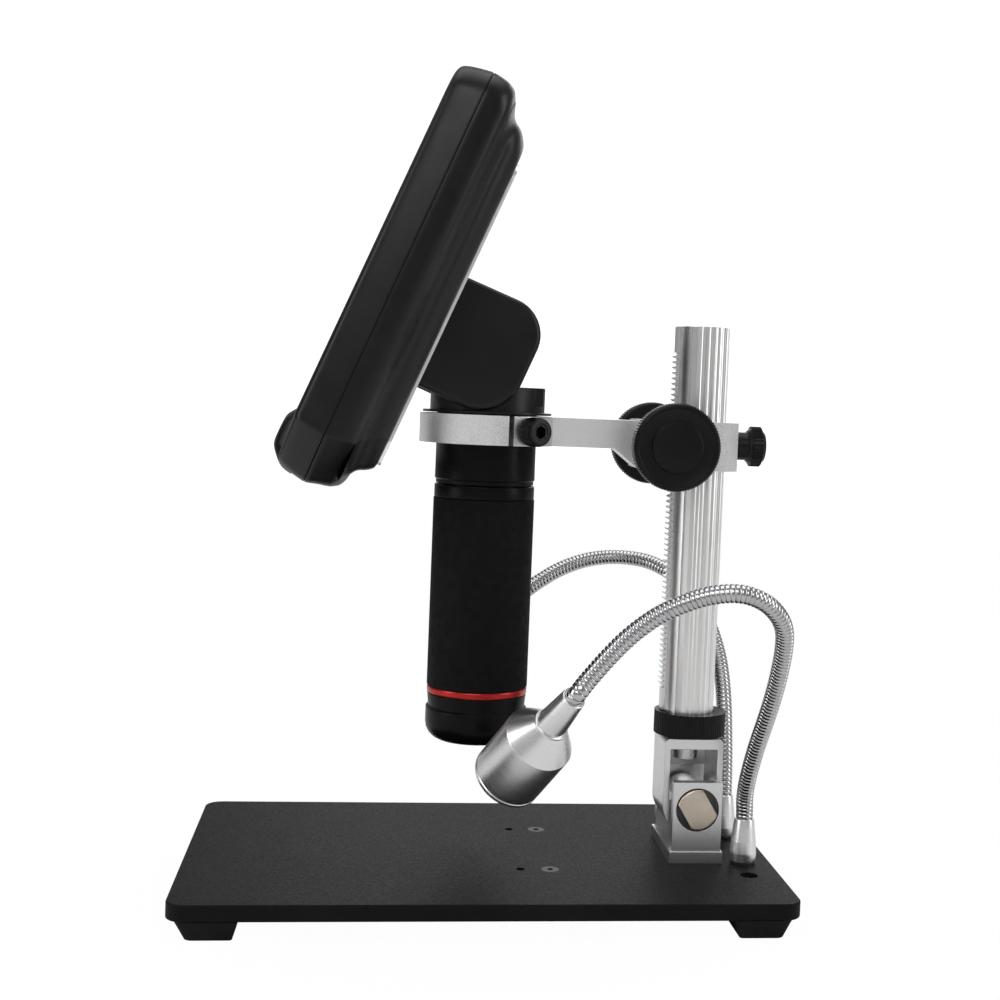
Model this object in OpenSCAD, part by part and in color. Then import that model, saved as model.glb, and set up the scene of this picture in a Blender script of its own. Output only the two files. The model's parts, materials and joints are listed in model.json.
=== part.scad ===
// LCD digital microscope on a tilting rack stand, in millimetres.
// Origin on the floor under the middle of the base plate, +Z up.
// The column stands towards +X, the user looks from -X, the front side is -Y.

/* [Base] */
// Length of the base plate along X
base_l = 200; // [180:5:240]
// Width of the base plate along Y
base_w = 120; // [110:5:150]
// Thickness of the base plate
base_t = 5.4; // [4.6:0.2:8]
// Corner radius of the base plate
base_r = 6; // [3:1:12]
// Height of the rubber feet
foot_h = 5.6; // [5:0.2:8]
// Length of a foot along X where it meets the plate
foot_l = 20; // [18:0.5:24]
// Width of a foot along Y where it meets the plate
foot_w = 20; // [18:0.5:24]
// Distance of a foot from the plate's short edge
foot_inset = 2; // [1:0.5:6]

/* [Tilt joint] */
// Distance of the pivot axis from the column end of the plate
pivot_inset = 26.8; // [24:0.2:30]
// Height of the pivot axis above the plate
pivot_h = 18.5; // [17:0.5:24]
// Width of the clevis bracket along X
clevis_l = 17.2; // [16:0.2:20]
// Gap between the two ears of the bracket
clevis_gap = 27; // [24:0.5:30]
// Thickness of an ear
ear_t = 3.2; // [2.6:0.1:5]
// Height of an ear above the pivot axis
ear_top = 9.5; // [8.5:0.5:12]
// Radius of the round head of the pivot bolt
bolt_head_r = 7.45; // [6.5:0.05:8]
// Distance across the flats of the bolt head
bolt_flats = 10; // [8:0.5:12]
// Radius of the bolt's shank
bolt_r = 4; // [3:0.25:5]

/* [Column] */
// Offset of the column axis from the pivot axis
column_offset = 1.7; // [0.8:0.1:2.6]
// Radius of the column
column_r = 9.15; // [8:0.05:10]
// Height of the column's top above the floor
column_top = 196; // [190:2:260]
// Yoke width along X
yoke_l = 20.6; // [20:0.2:24]
// Yoke depth along Y
yoke_w = 21; // [19:0.5:23]
// Height of the yoke's top above the pivot axis
yoke_h = 23.2; // [22:0.2:28]
// Wall of the yoke's posts
yoke_wall = 2; // [1.6:0.1:2.4]
// Radius of the knurled lock ring
ring_r = 12.6; // [12:0.1:13]
// Height of the knurled lock ring
ring_h = 8.3; // [7:0.1:12]
// Tooth module of the rack and the pinion
tooth_m = 0.6; // [0.5:0.05:0.7]
// Teeth on the pinion
pinion_teeth = 10; // [9:1:11]
// Height of the first rack tooth above the floor
rack_low = 69; // [66:1:80]
// Length of the toothed stretch of the rack
rack_run = 117; // [105:1:119]

/* [Carriage] */
// Height of the arm's middle above the floor
arm_z = 157.65; // [150:0.5:165]
// Height of the arm and the collar
arm_h = 9.9; // [9:0.1:12]
// Width of the arm along Y
arm_w = 12; // [10:0.5:16]
// Height of the pinion axis above the floor
pinion_z = 154.4; // [154:0.1:155]
// Radius of a focus knob
knob_r = 14.9; // [12:0.1:16]
// Distance of a knob's outer face from the middle plane
knob_reach = 27.1; // [25:0.1:32]
// Depth of the knurled rim of a knob
knob_rim = 7; // [5:0.5:9]
// Radius of the column lock screw's head
lock_head_r = 7.05; // [6:0.05:8]
// Radius of the collar screw's head
collar_head_r = 4.9; // [4:0.1:5.2]

/* [Microscope body] */
// Distance between the column axis and the body axis
arm_reach = 74.9; // [72:0.1:80]
// Radius of the upper barrel
tube_r = 17.2; // [16.5:0.1:18]
// Wall of the collar around the barrel
collar_wall = 5.8; // [5:0.1:7]
// Distance of the body's lowest point below the arm's middle
tube_drop = 107.65; // [101:0.05:112]
// Distance of the gap between the two barrels below the arm's middle
focus_gap_drop = 19.05; // [15.6:0.05:23]
// Distance of the rubber grip's lower edge below the arm's middle
grip_drop = 88.85; // [84:0.05:92]
// Thickness of the rubber grip
grip_t = 1; // [0.8:0.1:1.4]
// Height of the red ring
red_h = 2.3; // [1.6:0.1:4]
// Radius of the end cap
cap_r = 17.5; // [17.3:0.1:19]
// Radius of the opening in the end cap
cap_open = 11; // [9:0.25:11.25]
// Radius of the head collar
head_collar_r = 19.7; // [19:0.1:20]
// Height of the head collar's top above the barrel's top
head_collar_h = 9.3; // [8:0.1:9.5]

/* [Display head] */
// Lean of the display from upright, in degrees
lean = 22.8; // [15:0.2:30]
// Width of the display head
head_w = 150; // [146:1:170]
// Height of the display head
head_h = 135.8; // [128:0.2:150]
// Depth of the front bezel
bezel_d = 10.8; // [10:0.2:14]
// Depth of the rear shell
shell_d = 11; // [10:0.2:14]
// Depth of the raised rear cover
cover_d = 6.8; // [5:0.2:9]
// Thickness of the silver rear plate
rear_plate_t = 1; // [0.8:0.1:2]
// Wall of the plastic shells
shell_wall = 2.2; // [1.8:0.1:3]
// Visible width of the screen
screen_w = 110.8; // [100:0.2:120]
// Visible height of the screen
screen_h = 62.4; // [56:0.2:68]
// Width of the hinge neck
neck_w = 45; // [44:0.5:50]
// Radius of the hinge pin
hinge_r = 2.5; // [2:0.1:3]
// Number of buttons on the chin
button_count = 6; // [6:1:6]
// Distance between two buttons
button_pitch = 13; // [11:0.5:14]
// Radius of a button
button_r = 3; // [2.4:0.1:3.4]

/* [Lamps] */
// Distance of a lamp socket from the middle plane
lamp_y = 16; // [14:0.5:17]
// Distance of the lamp sockets from the column end of the plate
lamp_inset = 10; // [9:0.5:11]
// Height of a lamp socket above the plate
lamp_socket_h = 15.7; // [12:0.1:18]
// Radius of a gooseneck over its ribs
neck_tube_r = 2.95; // [2.4:0.05:3.2]
// Depth of the grooves between the ribs
rib_depth = 0.35; // [0.2:0.05:0.5]
// Distance between two ribs
rib_pitch = 2.4; // [2.3:0.1:4]
// Bore of a gooseneck
neck_bore_r = 1.5; // [1:0.1:1.8]
// Radius of a lamp housing
lamp_r = 11.6; // [9:0.1:12]
// Length of a lamp housing
lamp_l = 31.2; // [26:0.2:36]
// Length of the sleeve between gooseneck and housing
sleeve_l = 14.6; // [10:0.2:18]

/* [Fits] */
// Radial clearance of a running fit
run_gap = 0.05; // [0.03:0.01:0.08]
// Clearance between loosely fitted pieces
loose_gap = 0.3; // [0.2:0.05:0.4]

/* [Hidden] */
$fn = 96;
eps = 0.01;

pivot_x = base_l / 2 - pivot_inset;
column_x = pivot_x - column_offset;
tube_x = column_x - arm_reach;
lamp_x = base_l / 2 - lamp_inset;
plate_z = foot_h;
plate_top = foot_h + base_t;
pivot_z = plate_top + pivot_h;
yoke_top = pivot_z + yoke_h;
ear_in = clevis_gap / 2;
ear_out = ear_in + ear_t;
clevis_web_t = 4;
flare = 0.7;

pinion_r = tooth_m * pinion_teeth / 2;
tooth_pitch = PI * tooth_m;
rack_tip_x = column_x - column_r - 1.25;
rack_pitch_x = rack_tip_x + tooth_m;
pinion_x = rack_pitch_x - pinion_r;
rack_back_x = rack_tip_x + 3.4;
rack_w = 5;

arm_low = arm_z - arm_h / 2;
arm_high = arm_z + arm_h / 2;
tube_bottom = arm_z - tube_drop;
focus_gap_z = arm_z - focus_gap_drop;
grip_low = arm_z - grip_drop;
block_low = pinion_z - 8.1;
block_high = pinion_z + 8.7;
block_x0 = pinion_x - 10;
block_x1 = column_x + column_r + 2.8;
block_w = 26;
collar_in = tube_r + run_gap;
collar_out = collar_in + collar_wall;

barrel_top = arm_high + 0.4;
collar_top = barrel_top + head_collar_h;
spigot_r = tube_r - 2.2;
carrier_r = 13;

head_x = tube_x - 61.3;
head_z = arm_z + 4.95;
chin_u = -19.4;
head_top_u = chin_u + head_h;
cover_top_u = head_top_u - 9.4;
cover_low_u = chin_u + 9.9;
depth_main = bezel_d + shell_d;
depth_cover = depth_main + cover_d;
depth_all = depth_cover + rear_plate_t;
hinge_v = 46.2;
hinge_u = 37.8;
hinge_x = head_x + hinge_v * cos(lean) + hinge_u * sin(lean);
hinge_z = head_z - hinge_v * sin(lean) + hinge_u * cos(lean);
screen_u = head_top_u - 54.4;
port_u = screen_u - 2;
card_u = screen_u - 26;

// ---- shared shapes ----

// points of a polygon whose corners are rounded; each entry is [x, y, radius]
function round_corners(p, n = 5) = [
  for (i = [0 : len(p) - 1])
    let (
      a = [p[i][0], p[i][1]],
      prev = p[(i + len(p) - 1) % len(p)],
      next = p[(i + 1) % len(p)],
      d0 = unit([prev[0], prev[1]] - a),
      d1 = unit([next[0], next[1]] - a),
      half = acos(d0 * d1) / 2,
      r = p[i][2],
      reach = r / tan(half),
      mid = a + unit(d0 + d1) * (r / sin(half)),
      from = a + d0 * reach - mid,
      to = a + d1 * reach - mid,
      turn = from[0] * to[1] - from[1] * to[0] > 0 ? 180 - 2 * half : 2 * half - 180
    )
    each (r == 0 ? [a] : [for (k = [0 : n]) mid + spin(from, turn * k / n)])
];
function unit(v) = v / norm(v);
function spin(v, a) = [v[0] * cos(a) - v[1] * sin(a), v[0] * sin(a) + v[1] * cos(a)];

module rounded_rect(l, w, r) {
  for (x = [-1, 1]) for (y = [-1, 1]) translate([x * (l / 2 - r), y * (w / 2 - r)]) circle(r);
  square([l - 2 * r, w], center = true);
  square([l, w - 2 * r], center = true);
}

// cylinder along +Y that starts at y
module rod_y(x, y, z, r, h) {
  translate([x, y, z]) rotate([-90, 0, 0]) cylinder(r = r, h = h);
}

// cylinder along +X that starts at x
module rod_x(x, y, z, r, h) {
  translate([x, y, z]) rotate([0, 90, 0]) cylinder(r = r, h = h);
}

// rim with straight knurls around Z
module knurled(r, h, count, depth) {
  difference() {
    cylinder(r = r, h = h);
    for (a = [0 : 360 / count : 359])
      rotate([0, 0, a]) translate([r + depth * 0.6, 0, -1]) cylinder(r = depth * 1.3, h = h + 2, $fn = 16);
  }
}

// places children at both signs of Y
module both_sides(y) {
  for (s = [-1, 1]) translate([0, s * y, 0]) children();
}

// countersunk screw with its flat head at z, pointing down
module sunk_screw(x, y, z, l) {
  translate([x, y, z]) difference() {
    union() {
      translate([0, 0, -1.6]) cylinder(r1 = 1.5, r2 = 3, h = 1.6);
      translate([0, 0, -l]) cylinder(r = 1.5, h = l - 1.6);
    }
    translate([0, 0, -1]) cylinder(r = 1.1, h = 2, $fn = 6);
  }
}

module screw_seat(x, y, z, depth) {
  translate([x, y, z - 1.6]) cylinder(r1 = 1.5, r2 = 3, h = 1.6);
  translate([x, y, z - depth - 1]) cylinder(r = 1.5, h = depth + 2);
}

// ---- base ----

foot_x = base_l / 2 - foot_inset - foot_l / 2;
foot_y = base_w / 2 - foot_w / 2;
foot_screw_r = 1.25;
foot_recess_r = 3.5;
stage_hole_x = tube_x + 15.4;
stage_screw_x = stage_hole_x + 10;
stage_hole_y = 23.7;
stage_hole_r = 1.5;
cover_screw_x = lamp_x - 1;
cover_screw_y = 30.2;
recess = 1.2;
stud_r = 2.9;
bracket_screw_y = 7;

module base_plate() {
  color("#26262a") difference() {
    translate([0, 0, plate_z]) linear_extrude(base_t) rounded_rect(base_l, base_w, base_r);
    both_sides(stage_hole_y)
      translate([stage_hole_x, 0, plate_z - 1]) cylinder(r = stage_hole_r, h = base_t + 2);
    both_sides(stage_hole_y) screw_seat(stage_screw_x, 0, plate_top, base_t);
    both_sides(cover_screw_y) {
      screw_seat(cover_screw_x, 0, plate_top - recess, base_t);
      translate([cover_screw_x, 0, plate_top - recess]) cylinder(r = 3, h = recess + 1);
    }
    both_sides(lamp_y) translate([lamp_x, 0, plate_z - 1]) cylinder(r = stud_r, h = base_t + 2);
    both_sides(bracket_screw_y) {
      translate([pivot_x, 0, plate_z - 1]) cylinder(r = 2, h = base_t + 2);
      translate([pivot_x, 0, plate_z - 1]) cylinder(r = 3.9, h = 3.2);
    }
    at_feet() translate([0, 0, plate_z - 1]) cylinder(r = foot_screw_r, h = 4.5);
  }
}

// places children at the four feet, with +X and +Y towards the plate's nearest corner
module at_feet() {
  for (left = [0, 1]) for (front = [0, 1])
    mirror([left, 0, 0]) mirror([0, front, 0]) translate([foot_x, foot_y, 0]) children();
}

// prism under the plate along Y that narrows by near and by far down to the floor
module foot_wedge(l, near, far, depth) {
  translate([0, depth, 0]) rotate([90, 0, 0]) linear_extrude(2 * depth)
    polygon([[-l / 2 + near, 0], [l / 2 - far, 0], [l / 2, foot_h], [-l / 2, foot_h]]);
}

// block with slanted sides whose outer corner follows the plate's
module foot_block() {
  intersection() {
    foot_wedge(foot_l, 2.2, 4.4, foot_w);
    rotate([0, 0, 90]) foot_wedge(foot_w, 3.5, 0.3, foot_l);
    linear_extrude(foot_h) polygon(round_corners([
      [-foot_l / 2, -foot_w / 2, 2], [foot_l / 2, -foot_w / 2, 2],
      [foot_l / 2, foot_w / 2, base_r], [-foot_l / 2, foot_w / 2, 2]
    ]));
  }
}

module base_feet() {
  color("#141414") at_feet() difference() {
    foot_block();
    translate([0, 0, -1]) cylinder(r = foot_recess_r, h = 3.4);
    translate([0, 0, 2]) cylinder(r = foot_screw_r, h = foot_h);
  }
}

module foot_screws() {
  color("#b8b8b8") at_feet() difference() {
    union() {
      translate([0, 0, 0.8]) cylinder(r = foot_recess_r - 0.7, h = 1.6);
      translate([0, 0, 2]) cylinder(r = foot_screw_r, h = foot_h + 1.5);
    }
    cylinder(r = 1, h = 1.8, $fn = 6);
  }
}

module plate_screws() {
  color("#d0d0d0") {
    both_sides(stage_hole_y) sunk_screw(stage_screw_x, 0, plate_top, base_t);
    both_sides(cover_screw_y) sunk_screw(cover_screw_x, 0, plate_top - recess, base_t + 1);
  }
}

module bracket_screws() {
  color("#c8c8c8") both_sides(bracket_screw_y) translate([pivot_x, 0, 0]) difference() {
    union() {
      translate([0, 0, plate_z + 0.2]) cylinder(r = 3.5, h = 2);
      translate([0, 0, plate_z + 2]) cylinder(r = 2, h = base_t + 1);
    }
    translate([0, 0, plate_z - 1]) cylinder(r = 1.4, h = 2.4, $fn = 6);
  }
}

cover_x0 = cover_screw_x - 6;
cover_x1 = base_l / 2 - 3;
cover_half_w = cover_screw_y + 5;
cover_floor = 2;
cover_wall = 1.2;
driver_half_w = cover_screw_y - 6.2;
driver_t = 0.8;
inlet_w = 8.8;

module wiring_cover() {
  cover_l = cover_x1 - cover_x0;
  color("#1c1c1e") difference() {
    union() {
      difference() {
        translate([cover_x0, -cover_half_w, cover_floor])
          cube([cover_l, 2 * cover_half_w, plate_z - cover_floor]);
        translate([cover_x0 + cover_wall, -cover_half_w + cover_wall, cover_floor + cover_wall])
          cube([cover_l - 2 * cover_wall, 2 * cover_half_w - 2 * cover_wall, plate_z]);
      }
      both_sides(cover_screw_y)
        translate([cover_screw_x, 0, cover_floor]) cylinder(r = 3, h = plate_z - cover_floor);
    }
    both_sides(cover_screw_y)
      translate([cover_screw_x, 0, plate_top - recess - base_t - 1]) cylinder(r = 1.5, h = base_t);
    translate([cover_x1 - 2, -inlet_w / 2 - 0.2, cover_floor + cover_wall]) cube([4, inlet_w + 0.4, 2]);
  }
}

module lamp_driver_board() {
  color("#1f5a35") difference() {
    union() {
      translate([cover_x0 + 2, -driver_half_w, cover_floor + cover_wall])
        cube([cover_x1 - cover_x0 - 4, 2 * driver_half_w, driver_t]);
      translate([cover_x1 - 6.2, -inlet_w / 2, cover_floor + cover_wall]) cube([6, inlet_w, 1.9]);
    }
    translate([cover_x1 - 4, 1 - inlet_w / 2, cover_floor + cover_wall + 0.5]) cube([5, inlet_w - 2, 0.9]);
  }
}

// ---- tilt joint ----

module tilt_bracket() {
  color("#c9ccd2") difference() {
    union() {
      translate([pivot_x - clevis_l / 2, -ear_out, plate_top])
        cube([clevis_l, 2 * ear_out, pivot_z + ear_top - plate_top]);
      translate([pivot_x - clevis_l / 2 - flare, -ear_out - flare, plate_top])
        cube([clevis_l + 2 * flare, 2 * (ear_out + flare), clevis_web_t]);
    }
    translate([pivot_x - clevis_l / 2 - 2, -ear_in, plate_top + clevis_web_t])
      cube([clevis_l + 4, 2 * ear_in, pivot_h + ear_top]);
    rod_y(pivot_x, -ear_out - 1, pivot_z, bolt_head_r + run_gap, ear_t + 2);
    rod_y(pivot_x, ear_in - 1, pivot_z, bolt_r + run_gap, ear_t + 2);
    both_sides(bracket_screw_y) translate([pivot_x, 0, plate_top - 1]) cylinder(r = 2, h = clevis_web_t);
  }
}

bolt_flat_turn = 33;

module tilt_bolt() {
  color("#b5a695") {
    rod_y(pivot_x, -ear_out + 1.3, pivot_z, bolt_head_r, ear_t - 1.3);
    rod_y(pivot_x, -ear_in, pivot_z, bolt_r, ear_in + ear_out + 4.2);
    translate([pivot_x, -ear_out - 0.2, pivot_z]) rotate([0, bolt_flat_turn, 0]) rotate([-90, 0, 0])
      intersection() {
        cylinder(r = bolt_head_r, h = 1.5);
        translate([-bolt_flats / 2, -bolt_head_r, 0]) cube([bolt_flats, 2 * bolt_head_r, 1.5]);
      }
  }
}

module tilt_nut() {
  color("#b5a695") translate([pivot_x, ear_out, pivot_z]) rotate([-90, 0, 0]) difference() {
    cylinder(r = 7, h = 4, $fn = 6);
    translate([0, 0, -1]) cylinder(r = bolt_r, h = 6);
  }
}

// ---- column ----

yoke_end_r = yoke_l / 2;
yoke_x = pivot_x - 0.7;
window_low = pivot_z + 2;
window_high = yoke_top - 3.7;
barrel_boss_r = 6.2;

module column_yoke() {
  half_w = yoke_w / 2;
  color("#ced1d6") difference() {
    union() {
      difference() {
        union() {
          translate([yoke_x, half_w, 0]) rotate([90, 0, 0]) linear_extrude(yoke_w) union() {
            translate([0, pivot_z]) circle(yoke_end_r);
            translate([-yoke_l / 2, pivot_z]) square([yoke_l, yoke_h - 2]);
            translate([-yoke_l / 2 + 2, pivot_z]) square([yoke_l - 4, yoke_h]);
            for (s = [-1, 1]) translate([s * (yoke_l / 2 - 2), yoke_top - 2]) circle(2);
          }
        }
        translate([yoke_x - yoke_l / 2 + yoke_wall, -half_w - 1, window_low])
          cube([yoke_l - 2 * yoke_wall, yoke_w - 1, window_high - window_low]);
        translate([yoke_x - yoke_l / 2 + yoke_wall, -half_w - 1, window_low])
          cube([yoke_l - 2 * yoke_wall, yoke_w + 2, 8]);
      }
      rod_y(pivot_x, -half_w, pivot_z, barrel_boss_r, yoke_w);
    }
    rod_y(pivot_x, -half_w - 1, pivot_z, bolt_r + run_gap, yoke_w + 2);
    translate([column_x, 0, window_high - 1]) cylinder(r = 2.5, h = 6);
  }
}

// shallow flutes along the column, and a deeper groove on each side of the rack
module column() {
  color("#c4c7cc") difference() {
    translate([column_x, 0, yoke_top]) linear_extrude(column_top - yoke_top) difference() {
      circle(column_r);
      for (a = [-100 : 16 : 100]) rotate(a) translate([column_r + 0.7, 0]) circle(1.15, $fn = 24);
      for (a = [-1, 1]) rotate(180 + a * 57) translate([column_r - 0.9, -1.1]) square([3, 2.2]);
      translate([-column_r - 2, -rack_w / 2]) square([rack_back_x - column_x + column_r + 2, rack_w]);
    }
    translate([column_x, 0, yoke_top - 1]) cylinder(r = 2.5, h = 15);
  }
}

rack_teeth = floor(rack_run / tooth_pitch);
tooth_h = 2.25 * tooth_m;
tooth_crest = tooth_m * (PI / 2 - 2 * tan(20)) - 0.02;
tooth_foot = tooth_m * (PI / 2 + 2.5 * tan(20)) - 0.02;
// height of the middle of a tooth gap that faces the pinion
mesh_gap_z = pinion_z;
rack_first = mesh_gap_z - (floor((mesh_gap_z - rack_low) / tooth_pitch) - 0.5) * tooth_pitch;

module rack() {
  root_x = rack_tip_x + tooth_h;
  color("#b9bcc2") translate([0, rack_w / 2, 0]) rotate([90, 0, 0]) linear_extrude(rack_w) polygon(concat(
    [[rack_back_x, yoke_top + ring_h + 0.3], [rack_tip_x + 0.6, yoke_top + ring_h + 0.3],
     [rack_tip_x + 0.6, rack_first - tooth_pitch * 0.75], [root_x, rack_first - tooth_pitch * 0.75]],
    [for (i = [0 : rack_teeth - 1]) let (z = rack_first + i * tooth_pitch) each [
      [root_x, z - tooth_foot / 2], [rack_tip_x, z - tooth_crest / 2],
      [rack_tip_x, z + tooth_crest / 2], [root_x, z + tooth_foot / 2]
    ]],
    [[root_x, rack_first + (rack_teeth - 0.25) * tooth_pitch],
     [rack_tip_x + 0.6, rack_first + (rack_teeth - 0.25) * tooth_pitch],
     [rack_tip_x + 0.6, column_top], [rack_back_x, column_top]]
  ));
}

module column_screw() {
  color("#3a3a3c") translate([column_x, 0, 0]) difference() {
    union() {
      translate([0, 0, window_high - 4.8]) cylinder(r = 4.2, h = 4.8);
      translate([0, 0, window_high]) cylinder(r = 2.5, h = 16);
    }
    translate([0, 0, window_high - 6]) cylinder(r = 2.3, h = 4, $fn = 6);
  }
}

module lock_ring() {
  color("#1b1b1d") translate([yoke_x, 0, yoke_top + loose_gap]) difference() {
    knurled(ring_r, ring_h - loose_gap, 72, 0.35);
    translate([column_x - yoke_x, 0, -1]) cylinder(r = column_r + loose_gap, h = ring_h + 2);
  }
}

// ---- focus carriage ----

collar_slot_a = -73;
collar_screw_a = -57;
slot_w = 1.8;

module arm_carriage() {
  chamfer = 4.5;
  half_w = block_w / 2;
  color("#c6c8cb") difference() {
    union() {
      // block around the column
      translate([0, 0, block_low]) linear_extrude(block_high - block_low) polygon([
        [block_x0, -half_w], [block_x1 - chamfer, -half_w], [block_x1, -half_w + chamfer],
        [block_x1, half_w - chamfer], [block_x1 - chamfer, half_w], [block_x0, half_w]
      ]);
      // arm and its gusset
      translate([tube_x + tube_r, -arm_w / 2, arm_low]) cube([block_x0 - tube_x - tube_r + 1, arm_w, arm_h]);
      translate([0, arm_w / 2, 0]) rotate([90, 0, 0]) linear_extrude(arm_w) polygon([
        [block_x0 + 1, block_low], [block_x0, block_low], [block_x0 - 8, arm_low + eps],
        [block_x0 + 1, arm_low + eps]
      ]);
      translate([tube_x, 0, arm_low]) cylinder(r = collar_out, h = arm_h);
    }
    translate([tube_x, 0, arm_low - 1]) cylinder(r = collar_in, h = arm_h + 2);
    // split of the collar, cut through its wall only
    translate([tube_x, 0, arm_low - 1]) rotate([0, 0, collar_slot_a])
      translate([collar_in - 2, -slot_w / 2, 0]) cube([collar_wall + 4, slot_w, arm_h + 2]);
    // collar screw
    translate([tube_x, 0, arm_z]) rotate([0, 90, collar_screw_a])
      cylinder(r = 2 + run_gap, h = collar_out + 8);
    // column, rack and pinion
    translate([column_x, 0, block_low - 1]) cylinder(r = column_r + run_gap, h = block_high - block_low + 2);
    translate([rack_tip_x - 0.3, -rack_w / 2 - 0.2, block_low - 1])
      cube([4, rack_w + 0.4, block_high - block_low + 2]);
    rod_y(pinion_x, -3.4, pinion_z, pinion_r + tooth_m + 0.4, 6.8);
    rod_y(pinion_x, -half_w - 1, pinion_z, 2.5 + run_gap, block_w + 2);
    rod_x(column_x, 0, arm_low + 2.35, 2.5 + run_gap, 20);
  }
}

pressure_a = 20;
tooth_play_a = 0.4;
pinion_base_r = pinion_r * cos(pressure_a);
function involute_a(a) = tan(a) * 180 / PI - a;
// half angle of a pinion tooth at radius r
function tooth_half_a(r) =
  90 / pinion_teeth + involute_a(pressure_a) - involute_a(acos(min(1, pinion_base_r / r))) - tooth_play_a;

// involute teeth, cut in a little under the base circle
module pinion_shaft() {
  root = pinion_r - 1.25 * tooth_m;
  tip = pinion_r + 0.85 * tooth_m;
  foot = pinion_base_r - 0.15;
  middle = (pinion_r + tip) / 2;
  foot_a = tooth_half_a(foot) - 0.6;
  flank = concat(
    [[root, foot_a], [foot, foot_a]], [for (r = [pinion_r, middle, tip]) [r, tooth_half_a(r)]]
  );
  last = len(flank) - 1;
  color("#9a9ca0") translate([pinion_x, 0, pinion_z]) rotate([90, 0, 0]) {
    translate([0, 0, -3.2]) linear_extrude(6.4) polygon([for (i = [0 : pinion_teeth - 1]) each concat(
      [for (p = flank) spin([p[0], 0], i * 360 / pinion_teeth - p[1])],
      [for (k = [0 : last]) spin([flank[last - k][0], 0], i * 360 / pinion_teeth + flank[last - k][1])]
    )]);
    translate([0, 0, 3.2]) cylinder(r = 2.5, h = knob_reach - 3.2 - 2);
    translate([0, 0, -knob_reach + 2]) cylinder(r = 2.5, h = knob_reach - 3.2 - 2);
  }
}

// knob with a coned face; its outer face lies at +z
module knob() {
  hub = knob_reach - knob_rim - block_w / 2 - loose_gap;
  difference() {
    union() {
      difference() {
        knurled(knob_r, knob_rim, 90, 0.32);
        translate([0, 0, knob_rim]) rotate_extrude() polygon([
          [8.6, 1], [8.6, 0], [8.6, -0.9], [knob_r - 1.6, -0.1], [knob_r - 1.6, 1]
        ]);
      }
      translate([0, 0, -hub]) cylinder(r = 6, h = hub);
    }
    translate([0, 0, -hub - 1]) cylinder(r = 2.5, h = hub + knob_rim - 2 + 1);
  }
}

module front_knob() {
  color("#17181a") translate([pinion_x, -knob_reach + knob_rim, pinion_z]) rotate([90, 0, 0]) knob();
}

module rear_knob() {
  color("#17181a") translate([pinion_x, knob_reach - knob_rim, pinion_z]) rotate([-90, 0, 0]) knob();
}

// thumb screw pointing away from the column along +X
module column_lock_screw() {
  hub_l = 4.6;
  head_l = 6.2;
  reach = block_x1 - column_x - column_r - 0.25;
  color("#161618") translate([block_x1, 0, arm_low + 2.35]) rotate([0, 90, 0]) {
    translate([0, 0, -reach]) cylinder(r = 2.5, h = reach + 1);
    translate([0, 0, loose_gap]) cylinder(r = 4.9, h = hub_l);
    translate([0, 0, loose_gap + hub_l - eps]) intersection() {
      knurled(lock_head_r, head_l, 48, 0.3);
      rotate_extrude() polygon([
        [0, 0], [lock_head_r - 1.6, 0], [lock_head_r, 1.5], [lock_head_r, head_l - 1.8],
        [lock_head_r - 1.7, head_l], [0, head_l]
      ]);
    }
  }
}

module collar_screw() {
  head_l = 6.6;
  reach = collar_out - tube_r - 0.25;
  color("#161618") translate([tube_x, 0, arm_z]) rotate([0, 0, collar_screw_a])
    translate([collar_out + 0.4, 0, 0]) rotate([0, 90, 0]) difference() {
      union() {
        translate([0, 0, -reach - 0.4]) cylinder(r = 2, h = reach + 1);
        knurled(collar_head_r, head_l, 40, 0.25);
      }
      translate([0, 0, head_l - 3]) cylinder(r = 2.2, h = 4, $fn = 6);
    }
}

// ---- microscope body ----

sensor_z = focus_gap_z + 5.4;
sleeve_floor = focus_gap_z - 18.6;
carrier_low = grip_low + 3.2;
carrier_high = sensor_z - 4;
guide_z = carrier_low + 24;
guide_h = 5;
focus_bore_r = 14.6;
lens_r = carrier_r - 1.6;
lens_seat = carrier_low + 2.6;

module upper_barrel() {
  color("#101012") translate([tube_x, 0, 0]) rotate_extrude() polygon([
    [carrier_r + run_gap, sleeve_floor], [spigot_r, sleeve_floor], [spigot_r, focus_gap_z + 0.2],
    [tube_r - 0.4, focus_gap_z + 0.2], [tube_r - 0.4, focus_gap_z + 1.6],
    [tube_r, focus_gap_z + 2.2], [tube_r, barrel_top], [spigot_r, barrel_top],
    [spigot_r, sensor_z], [carrier_r + run_gap, sensor_z]
  ]);
}

lug_w = 18;

module head_collar() {
  flange_r = collar_out - 0.9;
  tab_w = 25;
  tab_x = tube_x + head_collar_r - 1.8;
  color("#141416") difference() {
    union() {
      translate([tube_x, 0, barrel_top - 5]) cylinder(r = spigot_r, h = 6);
      translate([tube_x, 0, barrel_top]) cylinder(r = flange_r, h = 0.8);
      translate([tube_x, 0, barrel_top]) cylinder(r = head_collar_r, h = head_collar_h);
      translate([tab_x - 9, -tab_w / 2, barrel_top + 3.2]) cube([9, tab_w, head_collar_h - 3.2]);
      rod_y(hinge_x, -lug_w / 2, hinge_z, boss_r, lug_w);
      translate([hinge_x - boss_r, -lug_w / 2, collar_top - 1])
        cube([2 * boss_r, lug_w, hinge_z - collar_top + 1]);
    }
    rod_y(hinge_x, -lug_w / 2 - 1, hinge_z, hinge_r + run_gap, lug_w + 2);
    translate([tube_x, 0, barrel_top - 6]) cylinder(r = 12, h = head_collar_h + 3);
    translate([tube_x + 13, 0, barrel_top]) cylinder(r = 2.2, h = 20);
  }
}

module sensor_board() {
  color("#1f5a35") translate([tube_x, 0, sensor_z]) {
    cylinder(r = spigot_r - 0.1, h = 1.4);
    translate([-4.5, -4.5, -1.4]) cube([9, 9, 1.4 + eps]);
  }
}

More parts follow.
